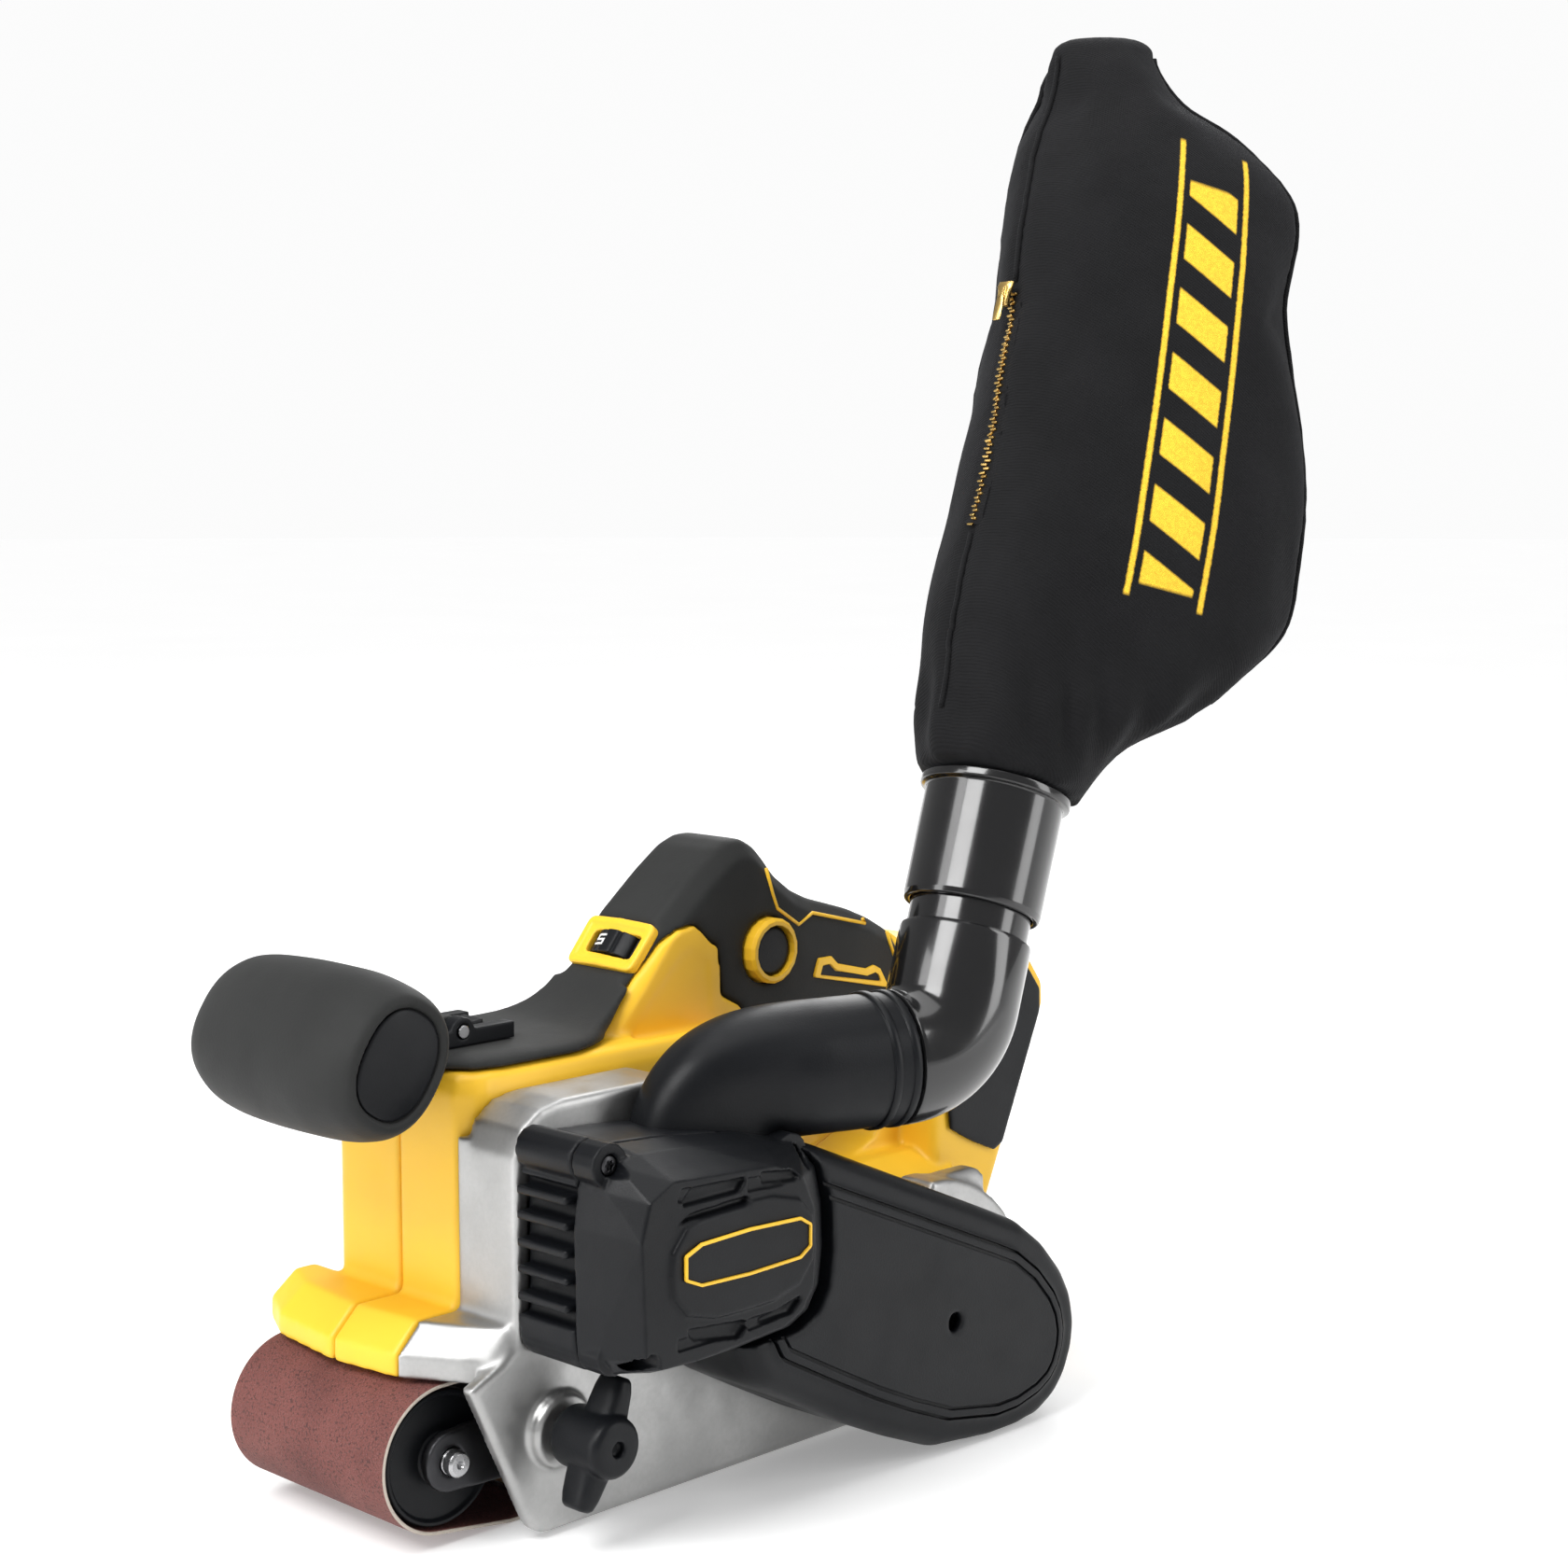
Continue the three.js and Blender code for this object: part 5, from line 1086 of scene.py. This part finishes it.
def inflate(bag, neck_top=0.221, farthest=0.0035):
    """Swells the cloth by pressure with its neck held, limiting each vertex's travel (m)."""
    rest = np.array([v.co for v in bag.data.vertices])
    hold = bag.vertex_groups.new(name="hold")
    hold.add([v.index for v in bag.data.vertices if v.co.z < neck_top], 1.0, "REPLACE")
    modifier = bag.modifiers.new("cloth", "CLOTH")
    settings = {"quality": 6, "mass": 0.25, "use_pressure": True, "uniform_pressure_force": 4,
                "vertex_group_mass": "hold", "tension_stiffness": 18,
                "compression_stiffness": 18, "bending_stiffness": 1.2}
    for key, value in settings.items():
        setattr(modifier.settings, key, value)
    modifier.settings.effector_weights.gravity = 0
    modifier.point_cache.frame_start = 1
    modifier.point_cache.frame_end = 20
    for frame in range(1, 21):
        scene.frame_set(frame)
    settle(bag)
    move = np.array([v.co for v in bag.data.vertices]) - rest
    travel = np.linalg.norm(move, axis=1)
    share = np.where(travel > farthest, farthest / np.maximum(travel, 1e-9), 1.0)
    bag.data.vertices.foreach_set("co", (rest + move * share[:, None]).ravel())
    scene.frame_set(1)


inflate(bag)
bag.modifiers.new("subdivide", "SUBSURF").levels = 1
settle(bag)


def seam_distances(points):
    """Distance in metres from each point to the nearest seam."""
    seams = np.array([bag_point(s, degrees) * MM for degrees, count in SEAMS
                      for s in np.linspace(3.0, 13.7, count)])
    # Worked in parts to spare memory.
    return np.concatenate([
        np.linalg.norm(part[:, None, :] - seams[None, :, :], axis=2).min(axis=1)
        for part in np.array_split(points, 40)])


def fold_height(point, seam_distance):
    """Long shallow folds, short gathers round the neck and a sewn line at the corners (m)."""
    z = point.z / MM
    long_fold = Vector((point.x * 55, point.y * 55, point.z * 16))
    crumple = Vector((point.x * 30, point.y * 30, point.z * 34)) + Vector((3, 7, 1))
    depth = 0.0011 * min(1, max(0, (z - 236) / 30))
    height = noise.noise(long_fold) * depth + noise.noise(crumple) * depth * 0.9
    from_axis = np.array(point) / MM - NECK
    turn = math.atan2(float(np.dot(from_axis, BAG_DEEP)), float(np.dot(from_axis, BAG_WIDE)))
    gather = math.exp(-((z - 239) / 13) ** 2)
    height += gather * 0.0013 * math.sin(turn * 15 + 2.2 * noise.noise(long_fold * 0.6))
    return height - 0.0013 * math.exp(-(seam_distance / 0.0028) ** 2)


NECK = bag_row(3)[:3]
with editing(bag.data) as bm:
    bm.normal_update()
    distances = seam_distances(np.array([v.co for v in bm.verts]))
    for vertex, distance in zip(bm.verts, distances):
        point = Vector(vertex.co)
        vertex.co = point + vertex.normal * fold_height(point, distance)

# Where each point lies on the print of the front-left face: across it, along it, and whether
# it faces that way. The print's two long edges are lines in (z, distance along BAG_WIDE).
PRINT_LENGTH, PRINT_START, PRINT_SLANT = 146.0, 276.5, 7.0
across, along, front = [], [], []
for vertex in bag.data.vertices:
    point = np.array(vertex.co) / MM
    z = point[2]
    near_edge = 160.4 + 31.2 * (z - 278.3) / 145.5
    far_edge = 186.2 + 27.6 * (z - 270.0) / 140.1
    share = (float(np.dot(point, BAG_WIDE)) - near_edge) / (far_edge - near_edge)
    across.append(float(np.clip(share, -3, 4)))
    along.append(float((z - (PRINT_START - PRINT_SLANT * share)) / PRINT_LENGTH))
    front.append(float(np.clip(-np.dot(np.array(vertex.normal), BAG_DEEP) * 3, 0, 1)))
for key, values in (("print_across", across), ("print_along", along), ("print_front", front)):
    bag.data.attributes.new(key, "FLOAT", "POINT").data.foreach_set("value", values)
place(smooth_shade(bag), "dust_bag", "bag_cloth", "dust_bag")

# ---------------------------------------------------------------- seam piping and zip

depsgraph = bpy.context.evaluated_depsgraph_get()
depsgraph.update()
BAG_TREE = BVHTree.FromObject(bag, depsgraph)


def on_bag(point, out=0.0):
    """Nearest point of the bag, moved out by out mm, and the normal there."""
    place_on, normal, _, _ = BAG_TREE.find_nearest(Vector([c * MM for c in point]))
    return np.array(place_on) / MM + np.array(normal) * out, np.array(normal)


# Piping: degrees, first and last section index. The zip fills the gap in the first seam.
PIPES = [(ZIP_SEAM, 3.2, 6.9), (ZIP_SEAM, 10.25, 13.8), (334, 3.2, 13.8), (25.7, 3.2, 13.8),
         (154, 3.2, 13.8)]
pipes = []
for degrees, first, last in PIPES:
    stations = np.linspace(first, last, max(8, int((last - first) * 8)))
    pipes.append(tube("pipe", [on_bag(bag_point(s, degrees), 0.35)[0] for s in stations], 1.0))
piping = smooth_shade(join(pipes, "bag_seam_piping"))
place(piping, "dust_bag", "bag_cloth", mat="plain_cloth")

ZIP_STEPS, TOOTH_COUNT = 70, 62
TAPE = [(-4.2, -0.2), (-4.0, 0.55), (-1.9, 1.0), (1.9, 1.0), (4.0, 0.55), (4.2, -0.2)]
TOOTH_ROWS = [(-0.5, 0.34), (-0.1, 0.44), (1.3, 0.40), (1.7, 0.26)]  # (sideways, half width)
zip_line = [on_bag(bag_point(7 + 3.1 * i / ZIP_STEPS, ZIP_SEAM)) for i in range(ZIP_STEPS + 1)]
rings = []
for i, (point, normal) in enumerate(zip_line):
    way = norm(zip_line[min(i + 1, ZIP_STEPS)][0] - zip_line[max(i - 1, 0)][0])
    side = norm(np.cross(way, normal))
    rings.append([point + side * sideways + normal * height for sideways, height in TAPE])
place(smooth_shade(loft("zip_cloth", rings), 50), "dust_bag", "bag_cloth", mat="plain_cloth")

teeth = []
for i in range(TOOTH_COUNT):
    position = i / (TOOTH_COUNT - 1) * ZIP_STEPS
    j = min(int(position), ZIP_STEPS - 1)
    t = position - j
    (point, normal), (next_point, next_normal) = zip_line[j], zip_line[j + 1]
    way = norm(next_point - point)
    normal = norm(normal * (1 - t) + next_normal * t)
    # The teeth point to either side in turn.
    side = norm(np.cross(way, normal)) * (1 if i % 2 else -1)
    centre = point * (1 - t) + next_point * t + normal * 1.25
    teeth.append(loft("tooth", [
        [centre + side * sideways + way * x + normal * y for x, y in (
            (-half, -0.5), (half, -0.5), (half, 0.35), (half * 0.6, 0.6), (-half * 0.6, 0.6),
            (-half, 0.35))] for sideways, half in TOOTH_ROWS]))
place(smooth_shade(join(teeth, "zip_teeth"), 40), "dust_bag", "brass", "zip_tape")

low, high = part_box("zip_slider")
SLIDER = np.array([(low[i] + high[i]) / 2 / MM for i in range(3)])
SLIDER_NORMAL = on_bag(SLIDER)[1]
ZIP_WAY = vec(0.319, 0.039, 0.947)
SLIDER_WAY = norm(ZIP_WAY - SLIDER_NORMAL * np.dot(ZIP_WAY, SLIDER_NORMAL))
SLIDER_SIDE = norm(np.cross(SLIDER_WAY, SLIDER_NORMAL))
# Section of the slider's plates: (share of half width, share of height).
PLATE = [(-0.85, 0), (0.85, 0), (1, 0.3), (1, 0.7), (0.8, 1), (-0.8, 1), (-1, 0.7), (-1, 0.3)]
# Body, loop and pull tab: rows of (along, half width, low, high).
SLIDER_PLATES = [
    [(-4.3, 1.9, -1.0, 0.5), (-3.9, 2.3, -1.0, 0.8), (0, 2.4, -1.0, 0.9), (2.6, 3.1, -1.0, 0.8),
     (4.0, 2.9, -1.0, 0.5)],
    [(-3.0, 0.7, 0.5, 1.1), (-2.0, 0.8, 0.6, 1.7), (1.2, 0.8, 0.6, 1.7), (2.2, 0.7, 0.5, 1.1)],
    [(-9.6, 1.1, 1.15, 1.65), (-9.2, 1.6, 1.1, 1.7), (-5, 1.5, 1.1, 1.7), (-1.5, 1.2, 1.1, 1.7),
     (-0.8, 0.9, 1.15, 1.65)],
]
plates = [loft("plate", [
    [SLIDER + SLIDER_WAY * ahead + SLIDER_SIDE * (half * x)
     + SLIDER_NORMAL * (bottom + (top - bottom) * y - 0.2) for x, y in PLATE]
    for ahead, half, bottom, top in rows]) for rows in SLIDER_PLATES]
slider = smooth_shade(join(plates, "zip_slider_form"), 40)
place(slider, "zip_slider", "brass", "zip_slider")

# ---------------------------------------------------------------- the nodes shown as they are

for obj in NODES.values():
    if obj.hide_render:
        continue
    slots = obj.data.materials
    slot = slots[0].name if slots and slots[0] else "black_plastic"
    for i in range(len(slots)):
        slots[i] = MATS[slot.split(".")[0]]

# ---------------------------------------------------------------- floor


def floor_material():
    """Pale grey that glows more with distance, to fade into the background."""
    mat = Mat("floor")
    mat.bump(mat.noise(900, detail=2), strength=0.05, distance=0.0001)
    colour = mat.mix(mat.vary(scale=3, detail=2), (0.80, 0.80, 0.80), (0.84, 0.84, 0.84))
    far = mat.add("VectorMath", {0: mat.coords}, operation="LENGTH").outputs["Value"]
    glow = mat.remap(far, over=(0.45, 2.2), to=(0.27, 0.70))
    return mat.done(colour, mat.vary(scale=40, detail=2, to=(0.6, 0.75)), Specular_IOR_Level=0.1,
                    Emission_Color=(1, 1, 1), Emission_Strength=glow)


FLOOR_Z, FLOOR_SIDES = -0.0003, 64
FLOOR_RADII = (0.5, 1.0, 2.0, 5.0, 14.0)
verts, faces = [(0.0, 0.0, FLOOR_Z)], []
for radius in FLOOR_RADII:
    for i in range(FLOOR_SIDES):
        turn = 2 * math.pi * i / FLOOR_SIDES
        verts.append((radius * math.cos(turn), radius * math.sin(turn), FLOOR_Z))
for i in range(FLOOR_SIDES):
    j = (i + 1) % FLOOR_SIDES
    faces.append((0, 1 + i, 1 + j))
    for k in range(len(FLOOR_RADII) - 1):
        inner = 1 + k * FLOOR_SIDES
        outer = inner + FLOOR_SIDES
        faces.append((inner + i, outer + i, outer + j, inner + j))
mesh = bpy.data.meshes.new("floor")
mesh.from_pydata(verts, [], faces)
floor = smooth_shade(link(bpy.data.objects.new("floor", mesh)))
mesh.materials.append(floor_material())

# ---------------------------------------------------------------- lights, world, camera

LIGHT_TARGET = Vector((0.02, -0.03, 0.16))
# name, place, size, watts
LIGHTS = [
    ("key", (-0.95, -0.15, 1.15), (0.7, 0.7), 17),
    ("fill", (0.75, -1.25, 0.7), (0.5, 1.2), 8.5),
    ("left", (-1.3, 0.45, 0.5), (0.4, 1.3), 8.5),
    ("top", (0.2, 0.0, 1.5), (1.3, 1.3), 10),
    ("rim", (1.0, 0.7, 0.8), (0.5, 1.0), 6),
]
for name, location, size, watts in LIGHTS:
    lamp = bpy.data.lights.new(name, "AREA")
    lamp.shape = "RECTANGLE"
    lamp.size, lamp.size_y = size
    lamp.energy = watts
    light = link(bpy.data.objects.new(name, lamp))
    light.location = location
    aim = LIGHT_TARGET - Vector(location)
    light.rotation_euler = aim.to_track_quat("-Z", "Y").to_euler()

# White surroundings, brighter to the camera than to the surfaces they light.
WORLD_LIGHT, WORLD_SEEN = 0.34, 0.97
world = bpy.data.worlds.new("world")
scene.world = world
world.use_nodes = True
tree = world.node_tree
background = tree.nodes["Background"]
background.inputs[0].default_value = (1, 1, 1, 1)
path_node = tree.nodes.new("ShaderNodeLightPath")
amount = tree.nodes.new("ShaderNodeMapRange")
amount.inputs[3].default_value = WORLD_LIGHT
amount.inputs[4].default_value = WORLD_SEEN
tree.links.new(path_node.outputs["Is Camera Ray"], amount.inputs[0])
tree.links.new(amount.outputs[0], background.inputs[1])

lens = bpy.data.cameras.new("camera")
lens.sensor_width = 36
lens.lens = 63.90
lens.clip_start = 0.01
camera = link(bpy.data.objects.new("camera", lens))
right = Vector((0.699, -0.715, 0)).normalized()
back = Vector((-0.7105, -0.6951, 0.1093)).normalized()
right = (right - back * right.dot(back)).normalized()
pose = Matrix((right, back.cross(right), back)).transposed().to_4x4()
pose.translation = Vector((-0.59418, -0.66185, 0.31241))
camera.matrix_world = pose
scene.camera = camera
scene.view_settings.view_transform = "Standard"

bpy.context.view_layer.update()
